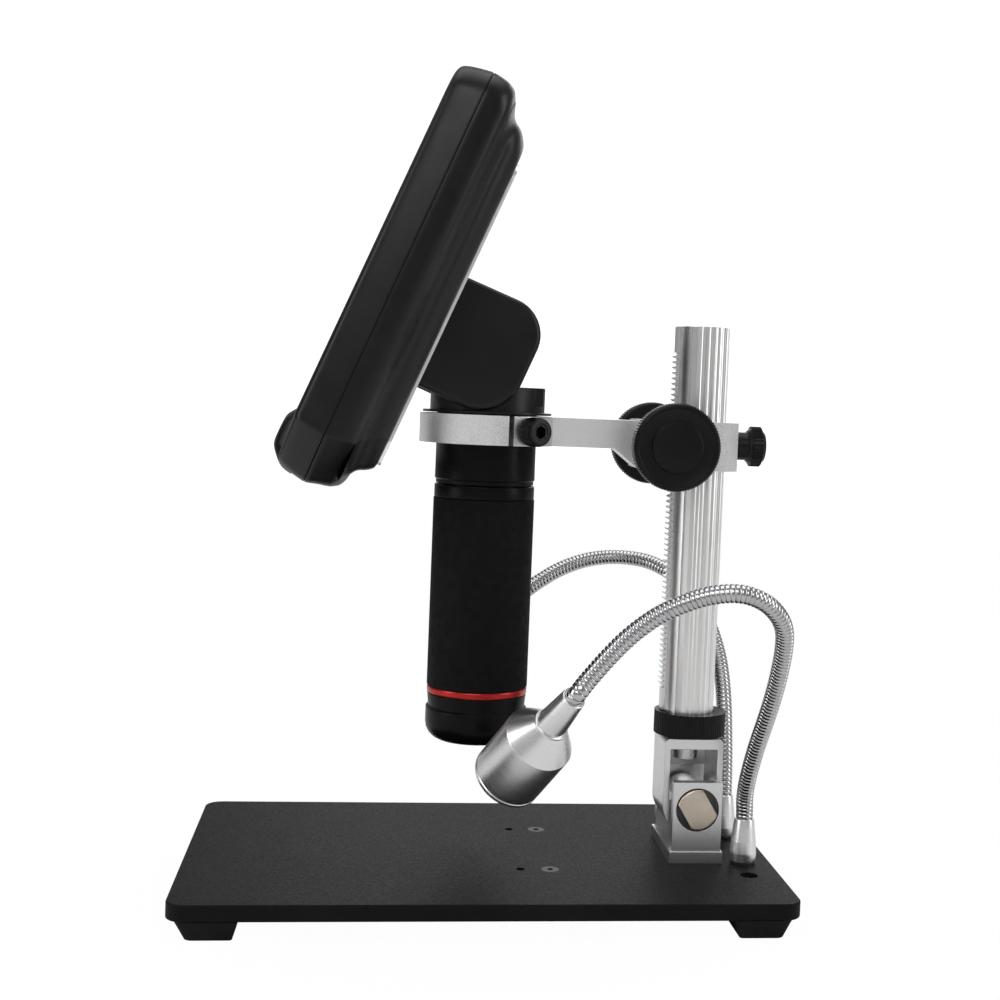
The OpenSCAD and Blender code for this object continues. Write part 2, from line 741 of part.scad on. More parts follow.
module focus_barrel() {
  core_r = cap_r - 1.1;
  color("#121214") translate([tube_x, 0, 0]) rotate_extrude() polygon([
    [focus_bore_r, grip_low - 8.8], [15.5, grip_low - 8.8], [15.5, grip_low - red_h - 0.1],
    [core_r, grip_low - red_h - 0.1], [core_r, focus_gap_z - 4.6], [tube_r, focus_gap_z - 4.6],
    [tube_r, focus_gap_z - 0.2], [spigot_r + run_gap, focus_gap_z - 0.2],
    [spigot_r + run_gap, sleeve_floor - 1], [focus_bore_r, sleeve_floor - 1]
  ]);
}

module grip_sleeve() {
  core_r = cap_r - 1.1;
  color("#0e0e0f") translate([tube_x, 0, 0]) rotate_extrude() polygon([
    [core_r, grip_low], [core_r + grip_t - 0.25, grip_low], [core_r + grip_t, grip_low + 0.4],
    [core_r + grip_t, focus_gap_z - 5], [core_r + grip_t - 0.25, focus_gap_z - 4.7],
    [core_r, focus_gap_z - 4.7]
  ]);
}

module red_ring() {
  core_r = cap_r - 1.1;
  color("#c41a1a") translate([tube_x, 0, grip_low - red_h]) rotate_extrude() polygon([
    [core_r, 0], [core_r + 0.75, 0], [core_r + 0.9, 0.2], [core_r + 0.9, red_h - 0.3],
    [core_r + 0.75, red_h - 0.1], [core_r, red_h - 0.1]
  ]);
}

// end cap: waist under the red ring, then a step and a round lower edge
module end_cap() {
  z0 = tube_bottom;
  top = grip_low - red_h - 0.1;
  edge_r = 6;
  color("#131315") translate([tube_x, 0, 0]) rotate_extrude() polygon(concat(
    [[cap_open, z0]],
    [for (a = [0 : 15 : 90]) [cap_r - edge_r + edge_r * sin(a), z0 + edge_r - edge_r * cos(a)]],
    [[cap_r - 0.05, top - 5.2], [cap_r - 0.8, top - 4.7], [cap_r - 0.35, top],
     [15.5, top], [15.5, z0 + 3.4], [cap_open, z0 + 2.4]]
  ));
}

module ring_light() {
  color("#2a6b44") translate([tube_x, 0, tube_bottom + 6.6]) difference() {
    union() {
      cylinder(r = 15.4, h = 1.4);
      for (a = [0 : 45 : 359]) rotate([0, 0, a]) translate([9.8, 0, -1.2])
        cylinder(r = 1.2, h = 1.2 + eps, $fn = 24);
    }
    translate([0, 0, -1]) cylinder(r = 8.4, h = 4);
  }
}

module lens_carrier() {
  color("#1a1a1c") translate([tube_x, 0, 0]) rotate_extrude() polygon([
    [lens_r - 1.8, carrier_low], [carrier_r - 1, carrier_low], [carrier_r - 1, guide_z],
    [focus_bore_r - loose_gap, guide_z], [focus_bore_r - loose_gap, guide_z + guide_h],
    [carrier_r, guide_z + guide_h], [carrier_r, carrier_high], [lens_r + 0.2, carrier_high],
    [lens_r + 0.2, carrier_low + 8], [lens_r, carrier_low + 8], [lens_r, lens_seat], [lens_r - 1.8, lens_seat]
  ]);
}

module objective_lens() {
  lens_h = 5.2;
  ball_r = 30;
  color("#a8d8e8") translate([tube_x, 0, lens_seat + lens_h / 2]) intersection() {
    cylinder(r = lens_r, h = lens_h + 0.8, center = true);
    translate([0, 0, -ball_r + lens_h / 2]) sphere(r = ball_r);
    translate([0, 0, ball_r - lens_h / 2]) sphere(r = ball_r);
  }
}

// ---- display head, drawn upright: x is depth, z is height, then leaned ----

module leaned() {
  translate([head_x, 0, head_z]) rotate([0, lean, 0]) children();
}

// front outline of the head: round upper corners and cut lower corners
function head_outline(inset) = let (w = head_w / 2 - inset, top = head_top_u - inset, low = chin_u + inset)
  round_corners([
    [-w, top, 11 - inset / 2], [-w, -3, 4], [-w + 16, low, 9], [w - 16, low, 9], [w, -3, 4],
    [w, top, 11 - inset / 2]
  ]);

module head_slab(depth, inset, t = eps) {
  translate([depth, 0, 0]) rotate([90, 0, 90]) linear_extrude(t) polygon(head_outline(inset));
}

// outline of the raised rear cover, with an inset of its own at the lower edge
function cover_outline(inset, low_inset) =
  let (w = head_w / 2 - 10 - inset, top = cover_top_u - inset, low = cover_low_u + low_inset)
  round_corners([[-w, top, 9], [-w, low, 8], [w, low, 8], [w, top, 9]]);

module cover_slab(depth, inset, low_inset, t = eps) {
  translate([depth, 0, 0]) rotate([90, 0, 90]) linear_extrude(t) polygon(cover_outline(inset, low_inset));
}

// straight-walled block of the head's room, from depth d0 to d1
module head_room(d0, d1, inset) {
  translate([d0, 0, 0]) rotate([90, 0, 90]) linear_extrude(d1 - d0) polygon(head_outline(inset));
}

chin_half = head_w / 2 - 21;
chin_v = -3;
button_u = chin_u + 10.6;

// bulge along the lower edge of the front: [depth, half width at the top and the bottom, low, high]
chin_steps = [
  [6, chin_half + 4, chin_half + 4, chin_u + 0.2, 4],
  [1, chin_half + 3, chin_half + 2, chin_u + 2.2, 2],
  [-1.4, chin_half + 1, chin_half, chin_u + 4.6, -1],
  [chin_v, chin_half - 3, chin_half - 4, chin_u + 6.7, -3.8]
];

module chin() {
  hull() for (c = chin_steps) translate([c[0], 0, 0]) rotate([90, 0, 90]) linear_extrude(eps)
    polygon(round_corners([[-c[1], c[4], 3], [-c[2], c[3], 3], [c[2], c[3], 3], [c[1], c[4], 3]]));
}

module front_bezel() {
  color("#121316") leaned() difference() {
    union() {
      hull() {
        head_slab(0, 5.5);
        head_slab(0.5, 3.4);
        head_slab(1.8, 2);
        head_slab(5, 1);
        head_slab(bezel_d - eps, 0);
      }
      chin();
    }
    head_room(shell_wall, bezel_d + 1, shell_wall + 2);
    // window with a step for the glass
    translate([-1, -screen_w / 2, screen_u - screen_h / 2]) cube([shell_wall + 2, screen_w, screen_h]);
    translate([-1, -screen_w / 2 - 8, screen_u - screen_h / 2 - 9])
      cube([1 + 1.3, screen_w + 16, screen_h + 18]);
    for (i = [0 : button_count - 1]) button_place(i) rotate([0, 90, 0])
      cylinder(r = button_r + 0.15, h = 16, center = true);
  }
}

module button_place(i) {
  translate([0, (i - (button_count - 1) / 2) * button_pitch, button_u]) children();
}

module rear_shell() {
  color("#131417") leaned() difference() {
    union() {
      hull() {
        head_slab(bezel_d, 0);
        head_slab(depth_main - 6.8, 0.5);
        head_slab(depth_main - 3.2, 2);
        head_slab(depth_main - 1.4, 5);
        head_slab(depth_main - eps, 8);
      }
      hull() {
        cover_slab(depth_main - eps, 0, 0);
        cover_slab(depth_main + 3.2, 1.4, 1);
        cover_slab(depth_main + 5.4, 3.2, 2);
        cover_slab(depth_cover - eps, 5.6, 3.2);
      }
    }
    head_room(bezel_d - 1, depth_main - shell_wall - 2.4, shell_wall + 2);
    head_room(bezel_d - 1, depth_main - shell_wall, 8);
    translate([depth_main - shell_wall - 1, 0, 0]) rotate([90, 0, 90])
      linear_extrude(cover_d + 1) polygon(cover_outline(8, 6));
    // socket openings in the far side wall
    translate([port_v - 0.1, head_w / 2 - 8, port_u]) cube([port_d + 0.2, 12, port_h + 0.4]);
    translate([port_v, head_w / 2 - 8, card_u]) cube([card_d + 0.4, 12, card_h + 0.4]);
    for (p = shell_screw_points) rod_x(depth_cover - 4, p[0], p[1], 1.5, 8);
  }
}

shell_screw_y = head_w / 2 - 22;
shell_screw_points = [
  for (y = [-shell_screw_y, shell_screw_y]) for (u = [cover_low_u + 10, cover_top_u - 16]) [y, u]
];
screw_head_r = 2.6;
plate_half_w = head_w / 2 - 16;
plate_low_u = cover_low_u + 3.4;
plate_high_u = cover_top_u - 10;
vent_u = screen_u + 6;

module rear_plate() {
  color("#b9bbbf") leaned() difference() {
    translate([depth_cover, 0, 0]) rotate([90, 0, 90]) linear_extrude(rear_plate_t) polygon(round_corners([
      [-plate_half_w, plate_high_u, 6], [-plate_half_w, plate_low_u, 6],
      [plate_half_w, plate_low_u, 6], [plate_half_w, plate_high_u, 6]
    ]));
    for (p = shell_screw_points) rod_x(depth_cover - 1, p[0], p[1], screw_head_r, 4);
    for (s = [-1, 1]) for (i = [0 : 4])
      translate([depth_cover - 1, s * (30 + i * 4), vent_u]) cube([4, 1.6, 18]);
    translate([depth_cover - 1, -8, hinge_u + 2.2]) cube([4, 16, 10]);
  }
}

module shell_screws() {
  color("#2c2c2e") leaned() for (p = shell_screw_points) translate([0, p[0], p[1]]) {
    translate([depth_cover, 0, 0]) rotate([0, 90, 0]) difference() {
      cylinder(r = screw_head_r, h = rear_plate_t);
      translate([0, 0, rear_plate_t - 0.6]) cylinder(r = 1, h = 1, $fn = 6);
    }
    translate([depth_cover - 4, 0, 0]) rotate([0, 90, 0]) cylinder(r = 1.5, h = 4 + eps);
  }
}

module display_glass() {
  color("#0a0c10") leaned() translate([0.25, -screen_w / 2 - 7.9, screen_u - screen_h / 2 - 8.9])
    cube([1.05, screen_w + 15.8, screen_h + 17.8]);
}

module display_panel() {
  color("#30343c") leaned() translate([shell_wall, -screen_w / 2 - 4, screen_u - screen_h / 2 - 5])
    cube([3.2, screen_w + 8, screen_h + 10]);
}

board_t = 1.6;
board_v = depth_main - shell_wall - board_t;
board_y0 = -head_w / 2 + 23;
board_y1 = head_w / 2 - 11;
board_h = 74;

module main_board() {
  color("#1d5534") leaned() {
    translate([board_v, board_y0, screen_u - board_h / 2 - 11]) cube([board_t, board_y1 - board_y0, board_h]);
    translate([board_v - 1.8, -20, screen_u - 12]) cube([1.8 + eps, 16, 16]);
    translate([board_v - 1.2, 8, screen_u - 8]) cube([1.2 + eps, 10, 12]);
  }
}

// charging port and card slot on the far side: depth, size across and height
port_v = 13.5;
port_d = 4.4;
port_h = 9;
card_d = 2.2;
card_h = 13.2;

module socket_box(v, d, u, h, l, lip) {
  difference() {
    translate([v, head_w / 2 - 2.5 - l, u + 0.2]) cube([d, l, h]);
    translate([v + lip, head_w / 2 - 2.5 - l + 3, u + 0.2 + 1]) cube([d - 2 * lip, l, h - 2]);
  }
}

module side_sockets() {
  color("#9a9ca0") leaned() {
    socket_box(port_v, port_d, port_u, port_h, 11.5, 1.1);
    socket_box(port_v + 0.1, card_d, card_u, card_h, 15.5, 0.7);
  }
}

// push button whose cap stands out of the chin
module button(i) {
  color("#2a2c30") leaned() button_place(i) {
    rod_x(chin_v - 0.6, 0, 0, button_r, shell_wall + 0.1 + 0.6 - chin_v);
    rod_x(shell_wall + 0.09, 0, 0, button_r + 0.9, 1);
  }
}

module button_1() { button(0); }
module button_2() { button(1); }
module button_3() { button(2); }
module button_4() { button(3); }
module button_5() { button(4); }
module button_6() { button(5); }

neck_wall = 2.4;
neck_fillet = 15;
neck_low = hinge_u - 15.5;
neck_high = hinge_u + 24.8;
neck_back = hinge_v + neck_fillet;
boss_r = 6;

// side view of the neck, u up and v back, with the lower back corner round about the hinge
function neck_points(inset) = round_corners([
  [depth_all, neck_low + inset, 0], [neck_back - inset, neck_low + inset, neck_fillet - inset],
  [neck_back - inset, neck_high - inset, 12.5 - inset], [depth_all, neck_high - 0.9 - inset, 0]
], 10);

module neck_housing() {
  inner_w = neck_w - 2 * neck_wall;
  boss_in = lug_w / 2 + loose_gap;
  color("#141518") leaned() difference() {
    union() {
      difference() {
        translate([0, neck_w / 2, 0]) rotate([90, 0, 0]) linear_extrude(neck_w) polygon(neck_points(0));
        translate([0, inner_w / 2, 0]) rotate([90, 0, 0])
          linear_extrude(inner_w) polygon(neck_points(neck_wall));
        // room for the head collar between the side walls
        translate([depth_all - 1, -inner_w / 2, neck_low - 1]) cube([40, inner_w, 9.4]);
        translate([hinge_v, -inner_w / 2, neck_low - 1]) cube([20, inner_w, hinge_u - neck_low + 10]);
      }
      for (y = [-inner_w / 2 - 0.2, boss_in])
        rod_y(hinge_v, y, hinge_u, boss_r, inner_w / 2 + 0.2 - boss_in);
    }
    translate([hinge_v, 0, hinge_u]) rotate([90, 0, 0]) cylinder(r = hinge_r, h = neck_w - 2, center = true);
  }
}

module hinge_pin() {
  color("#a0a2a6") rod_y(hinge_x, -neck_w / 2 + 1, hinge_z, hinge_r, neck_w - 2);
}

// ---- lamps ----

// a gooseneck's route from its socket's foot: points chosen by hand, then a smooth curve through them
front_route = [
  [0, 0, 10], [0, 0, 17], [-0.7, -2.2, 24], [-1.2, -7.5, 32], [-1, -15, 43], [-0.5, -23, 53.5],
  [-0.2, -31, 64], [-0.5, -38.5, 73.5], [-1.4, -45.5, 82], [-3.2, -51.5, 89], [-6.8, -56, 94.5],
  [-12, -58.6, 98.7], [-19, -59.6, 101], [-27, -58.8, 100.5], [-35, -57.2, 97.9], [-43.5, -55.3, 93.5],
  [-51.5, -53.6, 87], [-58, -52.6, 80], [-64, -52, 72.6]
];
rear_route = [
  [0, 0, 10], [0, 0, 17], [0.3, 1.9, 25], [0.5, 5.1, 36.6], [0.7, 9.3, 47.1], [0.6, 14.4, 56.7],
  [-0.3, 20.5, 65.7], [-3.1, 27.9, 75.8], [-7.6, 35.9, 83.8], [-13.7, 44.7, 90.9], [-21.2, 52.2, 94.7],
  [-28.7, 56.8, 95.9], [-36.7, 59.4, 95.8], [-45.1, 59.6, 94.6], [-52.6, 58.7, 92.3],
  [-59, 57.1, 89.5], [-65.4, 55.1, 85.7], [-72.4, 53.1, 81.1]
];
// where each lamp's sleeve begins, from the foot of its socket, and where the lamp points
front_lamp_from = [-68.2, -51.7, 66.9];
front_lamp_dir = unit([-0.372, 0.621, -0.69]);
rear_lamp_from = [-83.3, 50.3, 73.5];
rear_lamp_dir = unit([-0.16, -0.64, -0.74]);
sleeve_depth = 7;
front_lamp_at = [lamp_x, -lamp_y, plate_top] + front_lamp_from;
rear_lamp_at = [lamp_x, lamp_y, plate_top] + rear_lamp_from;

function lamp_route(route, side, at, dir) =
  concat(
    [for (p = route) p + [lamp_x, side * lamp_y, plate_top]],
    [at - 2 * dir, at + (sleeve_depth - 1) * dir]
  );

// point on a Catmull-Rom curve through p0..p3
function blend_point(p, i, t) =
  let (
    a = p[max(i - 1, 0)], b = p[i], c = p[i + 1], d = p[min(i + 2, len(p) - 1)]
  )
  0.5 * (2 * b + (c - a) * t + (2 * a - 5 * b + 4 * c - d) * t * t + (3 * b - 3 * c + d - a) * t * t * t);
fine_steps = 8;
function fine_curve(p) = concat(
  [for (i = [0 : len(p) - 2]) for (k = [0 : fine_steps - 1]) blend_point(p, i, k / fine_steps)],
  [p[len(p) - 1]]
);
// distance from the start to each point of the curve
function lengths(c) = [
  for (i = 0, s = 0; i < len(c); s = s + (i < len(c) - 1 ? norm(c[i + 1] - c[i]) : 0), i = i + 1) s
];
// point at distance s along the curve
function seek(l, s, i = 0) = i >= len(l) - 2 || l[i + 1] >= s ? i : seek(l, s, i + 1);
function at_length(c, l, s) = let (i = seek(l, s))
  c[i] + (c[i + 1] - c[i]) * ((s - l[i]) / (l[i + 1] - l[i]));

sides = 8;
// stations of the tube: [distance, radius], plain ends and a crest and a groove for each rib
function stations(total) = let (plain = 2 * neck_tube_r, n = floor((total - 2 * plain) / rib_pitch)) concat(
  [[0, neck_tube_r - rib_depth], [plain, neck_tube_r - rib_depth]],
  [for (i = [0 : n - 1]) each [
    [plain + (i + 0.45) * (total - 2 * plain) / n, neck_tube_r],
    [plain + (i + 0.95) * (total - 2 * plain) / n, neck_tube_r - rib_depth]
  ]],
  [[total, neck_tube_r - rib_depth]]
);

function side_dirs(tangents, i = 0, acc = []) =
  i == len(tangents) ? acc :
  let (
    before = i == 0 ? [0, 1, 0] : acc[i - 1],
    flat = before - (before * tangents[i]) * tangents[i]
  )
  side_dirs(tangents, i + 1, concat(acc, [unit(flat)]));

module ribbed_tube(route) {
  c = fine_curve(route);
  l = lengths(c);
  total = l[len(l) - 1];
  st = stations(total);
  n = len(st);
  pts = [for (s = st) at_length(c, l, s[0])];
  tans = [for (i = [0 : n - 1]) unit(pts[min(i + 1, n - 1)] - pts[max(i - 1, 0)])];
  dirs = side_dirs(tans);
  inner = [for (i = [0 : 8 : n - 1]) i];
  stops = inner[len(inner) - 1] == n - 1 ? inner : concat(inner, [n - 1]);
  m = len(stops);
  outer_pts = [for (i = [0 : n - 1]) each ring_points(pts[i], tans[i], dirs[i], st[i][1])];
  inner_pts = [for (i = stops) each ring_points(pts[i], tans[i], dirs[i], neck_bore_r)];
  base = n * sides;
  faces = concat(
    [for (i = [0 : n - 2]) for (k = [0 : sides - 1]) let (k2 = (k + 1) % sides) each [
      [i * sides + k, i * sides + k2, (i + 1) * sides + k2],
      [i * sides + k, (i + 1) * sides + k2, (i + 1) * sides + k]
    ]],
    [for (i = [0 : m - 2]) for (k = [0 : sides - 1]) let (k2 = (k + 1) % sides) each [
      [base + i * sides + k2, base + i * sides + k, base + (i + 1) * sides + k],
      [base + i * sides + k2, base + (i + 1) * sides + k, base + (i + 1) * sides + k2]
    ]],
    [for (k = [0 : sides - 1]) let (k2 = (k + 1) % sides) each [
      [k2, k, base + k], [k2, base + k, base + k2]
    ]],
    let (a = (n - 1) * sides, b = base + (m - 1) * sides)
    [for (k = [0 : sides - 1]) let (k2 = (k + 1) % sides) each [
      [a + k, a + k2, b + k2], [a + k, b + k2, b + k]
    ]]
  );
  polyhedron(concat(outer_pts, inner_pts), faces);
}

function ring_points(p, t, d, r) = let (e = cross(t, d)) [
  for (k = [0 : sides - 1]) p + r * (cos(-k * 360 / sides) * d + sin(-k * 360 / sides) * e)
];

module lamp_socket(side) {
  color("#b4b6ba") translate([lamp_x, side * lamp_y, plate_top]) difference() {
    union() {
      rotate_extrude() polygon([
        [0, 0], [4.1, 0], [4.5, 1.2], [4.6, 4], [4.3, 8], [3.8, 12], [3.35, lamp_socket_h], [0, lamp_socket_h]
      ]);
      translate([0, 0, -base_t]) cylinder(r = stud_r, h = base_t + eps);
    }
    translate([0, 0, lamp_socket_h - 6.7]) cylinder(r = neck_tube_r, h = 10);
    translate([0, 0, -base_t - 1]) cylinder(r = neck_bore_r, h = 30);
  }
}

module front_lamp_socket() { lamp_socket(-1); }
module rear_lamp_socket() { lamp_socket(1); }

module front_gooseneck() {
  color("#c0c2c6") ribbed_tube(lamp_route(front_route, -1, front_lamp_at, front_lamp_dir));
}

module rear_gooseneck() {
  color("#c0c2c6") ribbed_tube(lamp_route(rear_route, 1, rear_lamp_at, rear_lamp_dir));
}

// turns +z into the lamp's direction, with z = 0 where the sleeve begins
module aimed(at, dir) {
  translate(at) rotate([0, acos(dir[2]), atan2(dir[1], dir[0])]) children();
}

module lamp_sleeve() {
  difference() {
    cylinder(r1 = 3.8, r2 = 5.1, h = sleeve_l);
    translate([0, 0, -1]) cylinder(r = neck_tube_r, h = sleeve_depth + 1);
    translate([0, 0, -1]) cylinder(r = neck_bore_r, h = sleeve_l + 2);
  }
}

lamp_cone = 8.6;
cavity_z = lamp_cone + 1;
lip_r = 5.75;
lens_z = lamp_l - 6;

module lamp_housing() {
  translate([0, 0, sleeve_l]) rotate_extrude() polygon([
    [neck_bore_r, 0], [lip_r - 0.35, 0], [lip_r, 0.3], [lip_r, 0.7],
    [lamp_r - 0.1, lamp_cone], [lamp_r, lamp_cone + 0.3],
    [lamp_r, lamp_l - 1.9], [lamp_r - 0.25, lamp_l - 1.7], [lamp_r - 0.25, lamp_l - 1.5],
    [lamp_r, lamp_l - 1.3], [lamp_r, lamp_l - 0.3], [lamp_r - 0.3, lamp_l],
    [lamp_r - 1.4, lamp_l], [lamp_r - 1.4, lens_z],
    [lamp_r - 2, lens_z], [lamp_r - 2, cavity_z], [neck_bore_r, cavity_z]
  ]);
}

module lamp_board() {
  translate([0, 0, sleeve_l + cavity_z]) {
    cylinder(r = lamp_r - 2.1, h = 1.4);
    translate([0, 0, 1.39]) cylinder(r = 2.5, h = 1.6);
  }
}

module lamp_lens() {
  translate([0, 0, sleeve_l + lens_z]) intersection() {
    cylinder(r = lamp_r - 1.5, h = 4.6);
    translate([0, 0, -13.4]) sphere(r = 18);
  }
}

module front_lamp_sleeve() { color("#aeb0b4") aimed(front_lamp_at, front_lamp_dir) lamp_sleeve(); }
module rear_lamp_sleeve() { color("#aeb0b4") aimed(rear_lamp_at, rear_lamp_dir) lamp_sleeve(); }
module front_lamp_housing() { color("#b9bbbf") aimed(front_lamp_at, front_lamp_dir) lamp_housing(); }
module rear_lamp_housing() { color("#b9bbbf") aimed(rear_lamp_at, rear_lamp_dir) lamp_housing(); }
module front_lamp_board() { color("#e8e4c8") aimed(front_lamp_at, front_lamp_dir) lamp_board(); }
module rear_lamp_board() { color("#e8e4c8") aimed(rear_lamp_at, rear_lamp_dir) lamp_board(); }
module front_lamp_lens() { color("#d8e4ea") aimed(front_lamp_at, front_lamp_dir) lamp_lens(); }
module rear_lamp_lens() { color("#d8e4ea") aimed(rear_lamp_at, rear_lamp_dir) lamp_lens(); }

base_plate();
base_feet();
foot_screws();
plate_screws();
bracket_screws();
tilt_bracket();
tilt_bolt();
tilt_nut();
wiring_cover();
lamp_driver_board();
column_yoke();
column();
rack();
column_screw();
lock_ring();
arm_carriage();
pinion_shaft();
front_knob();
rear_knob();
column_lock_screw();
collar_screw();
upper_barrel();
head_collar();
sensor_board();
focus_barrel();
grip_sleeve();
red_ring();
end_cap();
ring_light();
lens_carrier();
objective_lens();
neck_housing();
hinge_pin();
front_bezel();
rear_shell();
rear_plate();
display_panel();
display_glass();
main_board();
shell_screws();
side_sockets();
button_1();
button_2();
button_3();
button_4();
button_5();
button_6();
front_lamp_socket();
rear_lamp_socket();
front_gooseneck();
rear_gooseneck();
front_lamp_sleeve();
rear_lamp_sleeve();
front_lamp_housing();
rear_lamp_housing();
front_lamp_board();
rear_lamp_board();
front_lamp_lens();
rear_lamp_lens();
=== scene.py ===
import json
import math

import bmesh
import bpy
from mathutils import Matrix, Vector


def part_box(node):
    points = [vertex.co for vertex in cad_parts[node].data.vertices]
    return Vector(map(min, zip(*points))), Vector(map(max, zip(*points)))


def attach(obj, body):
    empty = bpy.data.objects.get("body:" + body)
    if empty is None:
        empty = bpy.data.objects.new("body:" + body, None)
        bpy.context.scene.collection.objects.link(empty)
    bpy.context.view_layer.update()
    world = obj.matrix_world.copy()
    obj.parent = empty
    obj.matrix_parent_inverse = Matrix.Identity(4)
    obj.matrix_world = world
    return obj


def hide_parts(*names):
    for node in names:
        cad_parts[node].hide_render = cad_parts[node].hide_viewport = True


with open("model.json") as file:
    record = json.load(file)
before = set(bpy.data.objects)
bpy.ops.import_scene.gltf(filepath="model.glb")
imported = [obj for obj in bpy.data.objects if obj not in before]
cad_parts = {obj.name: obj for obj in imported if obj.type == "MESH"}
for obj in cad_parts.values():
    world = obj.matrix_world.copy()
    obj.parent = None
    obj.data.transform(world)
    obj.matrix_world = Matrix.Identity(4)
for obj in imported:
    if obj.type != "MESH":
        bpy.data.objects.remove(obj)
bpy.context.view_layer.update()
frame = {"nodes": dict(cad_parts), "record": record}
scene = bpy.context.scene
record = frame["record"]
bodyOf = {node: body for body, nodes in record["behaviour"]["bodies"].items() for node in nodes}
mm = 0.001


# camera and light

cameraSetup = {
    "place": (-0.04038, -0.52790, 0.16856),
    "yaw": 7.45, "pitch": 2.57, "roll": 2.37,   # degrees
    "sensor": 36, "lens": 55.07,
    "shift": (-0.0771, -0.0303),
}


def addCamera(setup):
    yaw, pitch, roll = (math.radians(setup[key]) for key in ("yaw", "pitch", "roll"))
    forward = Vector((math.sin(yaw) * math.cos(pitch), math.cos(yaw) * math.cos(pitch), -math.sin(pitch)))
    level = Vector((math.cos(yaw), -math.sin(yaw), 0))
    upright = level.cross(forward)
    right = level * math.cos(roll) + upright * math.sin(roll)
    up = upright * math.cos(roll) - level * math.sin(roll)
    data = bpy.data.cameras.new("benchCamera")
    data.sensor_width = setup["sensor"]
    data.lens = setup["lens"]
    data.shift_x, data.shift_y = setup["shift"]
    camera = bpy.data.objects.new("benchCamera", data)
    turned = Matrix((right, up, -forward)).transposed().to_4x4()
    turned.translation = setup["place"]
    camera.matrix_world = turned
    scene.collection.objects.link(camera)
    scene.camera = camera


addCamera(cameraSetup)

softboxes = [
    # name, place, aims at, size, watts
    ("overheadSoftbox", (0.0, 0.1, 1.15), (0, 0, 0.1), (1.1, 0.8), 5),
    ("leftSoftbox", (-1.05, -0.3, 0.45), (0, 0, 0.15), (0.45, 0.9), 4.2),
    ("rightSoftbox", (1.05, -0.4, 0.5), (0, 0, 0.15), (0.4, 0.9), 3.8),
    ("rearSoftbox", (0.3, 1.0, 0.6), (0, 0, 0.15), (1.0, 0.6), 3),
    ("frontSoftbox", (-0.3, -1.1, 0.9), (0, 0, 0.15), (0.8, 0.6), 5),
]


def addSoftbox(name, place, target, size, watts):
    data = bpy.data.lights.new(name, "AREA")
    data.shape = "RECTANGLE"
    data.size, data.size_y = size
    data.energy = watts
    lamp = bpy.data.objects.new(name, data)
    lamp.location = place
    lamp.rotation_euler = (Vector(target) - Vector(place)).to_track_quat("-Z", "Y").to_euler()
    scene.collection.objects.link(lamp)


for softbox in softboxes:
    addSoftbox(*softbox)
scene.view_settings.view_transform = "Standard"


def addRoom(ambient, mirrored):
    # the camera sees white, shiny surfaces mostly mirror the softboxes, everything else gets a soft fill
    world = bpy.data.worlds.new("whiteRoom")
    scene.world = world
    world.use_nodes = True
    nodes, links = world.node_tree.nodes, world.node_tree.links
    background = nodes["Background"]
    background.inputs["Color"].default_value = (1, 1, 1, 1)
    path = nodes.new("ShaderNodeLightPath")
    seen = nodes.new("ShaderNodeMath")
    seen.operation = "ADD"
    glossy = nodes.new("ShaderNodeMath")
    white = nodes.new("ShaderNodeMath")
    for step, share, rest in ((glossy, mirrored - ambient, ambient), (white, 1, 0)):
        step.operation = "MULTIPLY_ADD"
        step.inputs[1].default_value = share
        step.inputs[2].default_value = rest
    for start, end in (
        (path.outputs["Is Camera Ray"], seen.inputs[0]),
        (path.outputs["Is Transmission Ray"], seen.inputs[1]),
        (path.outputs["Is Glossy Ray"], glossy.inputs[0]), (seen.outputs[0], white.inputs[0]),
        (glossy.outputs[0], white.inputs[2]), (white.outputs[0], background.inputs["Strength"]),
    ):
        links.new(start, end)


addRoom(ambient=0.2, mirrored=0.34)


def newMaterial(name, colour, roughness, metallic=0.0, extra=None):
    material = bpy.data.materials.new(name)
    material.use_nodes = True
    shader = material.node_tree.nodes["Principled BSDF"]
    shader.inputs["Base Color"].default_value = (*colour, 1)
    shader.inputs["Roughness"].default_value = roughness
    shader.inputs["Metallic"].default_value = metallic
    for socket, value in (extra or {}).items():
        shader.inputs[socket].default_value = value
    return material


def addSheet(name, size, material):
    bm = bmesh.new()
    bmesh.ops.create_grid(bm, x_segments=1, y_segments=1, size=0.5)
    bmesh.ops.scale(bm, vec=(*size, 1), verts=bm.verts)
    mesh = bpy.data.meshes.new(name)
    bm.to_mesh(mesh)
    bm.free()
    mesh.materials.append(material)
    sheet = bpy.data.objects.new(name, mesh)
    scene.collection.objects.link(sheet)
    return sheet


darkFlag = {"place": (-0.9, 0.35, 0.25), "target": (0, 0, 0.2), "size": (1.0, 0.8)}


def addDarkFlag(flag):
    # black card on the left that only metal and gloss can see, for the dark bands in them
    card = addSheet("darkFlag", flag["size"], newMaterial("darkFlag", (0.01, 0.01, 0.01), 0.9))
    aim = Vector(flag["target"]) - Vector(flag["place"])
    card.location = flag["place"]
    card.rotation_euler = aim.to_track_quat("Z", "Y").to_euler()
    card.visible_camera = card.visible_diffuse = card.visible_shadow = card.visible_transmission = False


addDarkFlag(darkFlag)

floorShape = {
    # size in metres; the share of pure white that the camera sees grows from near to far
    "size": (6, 6), "near": 0.08, "far": 0.15, "nearShare": 0.975,
}


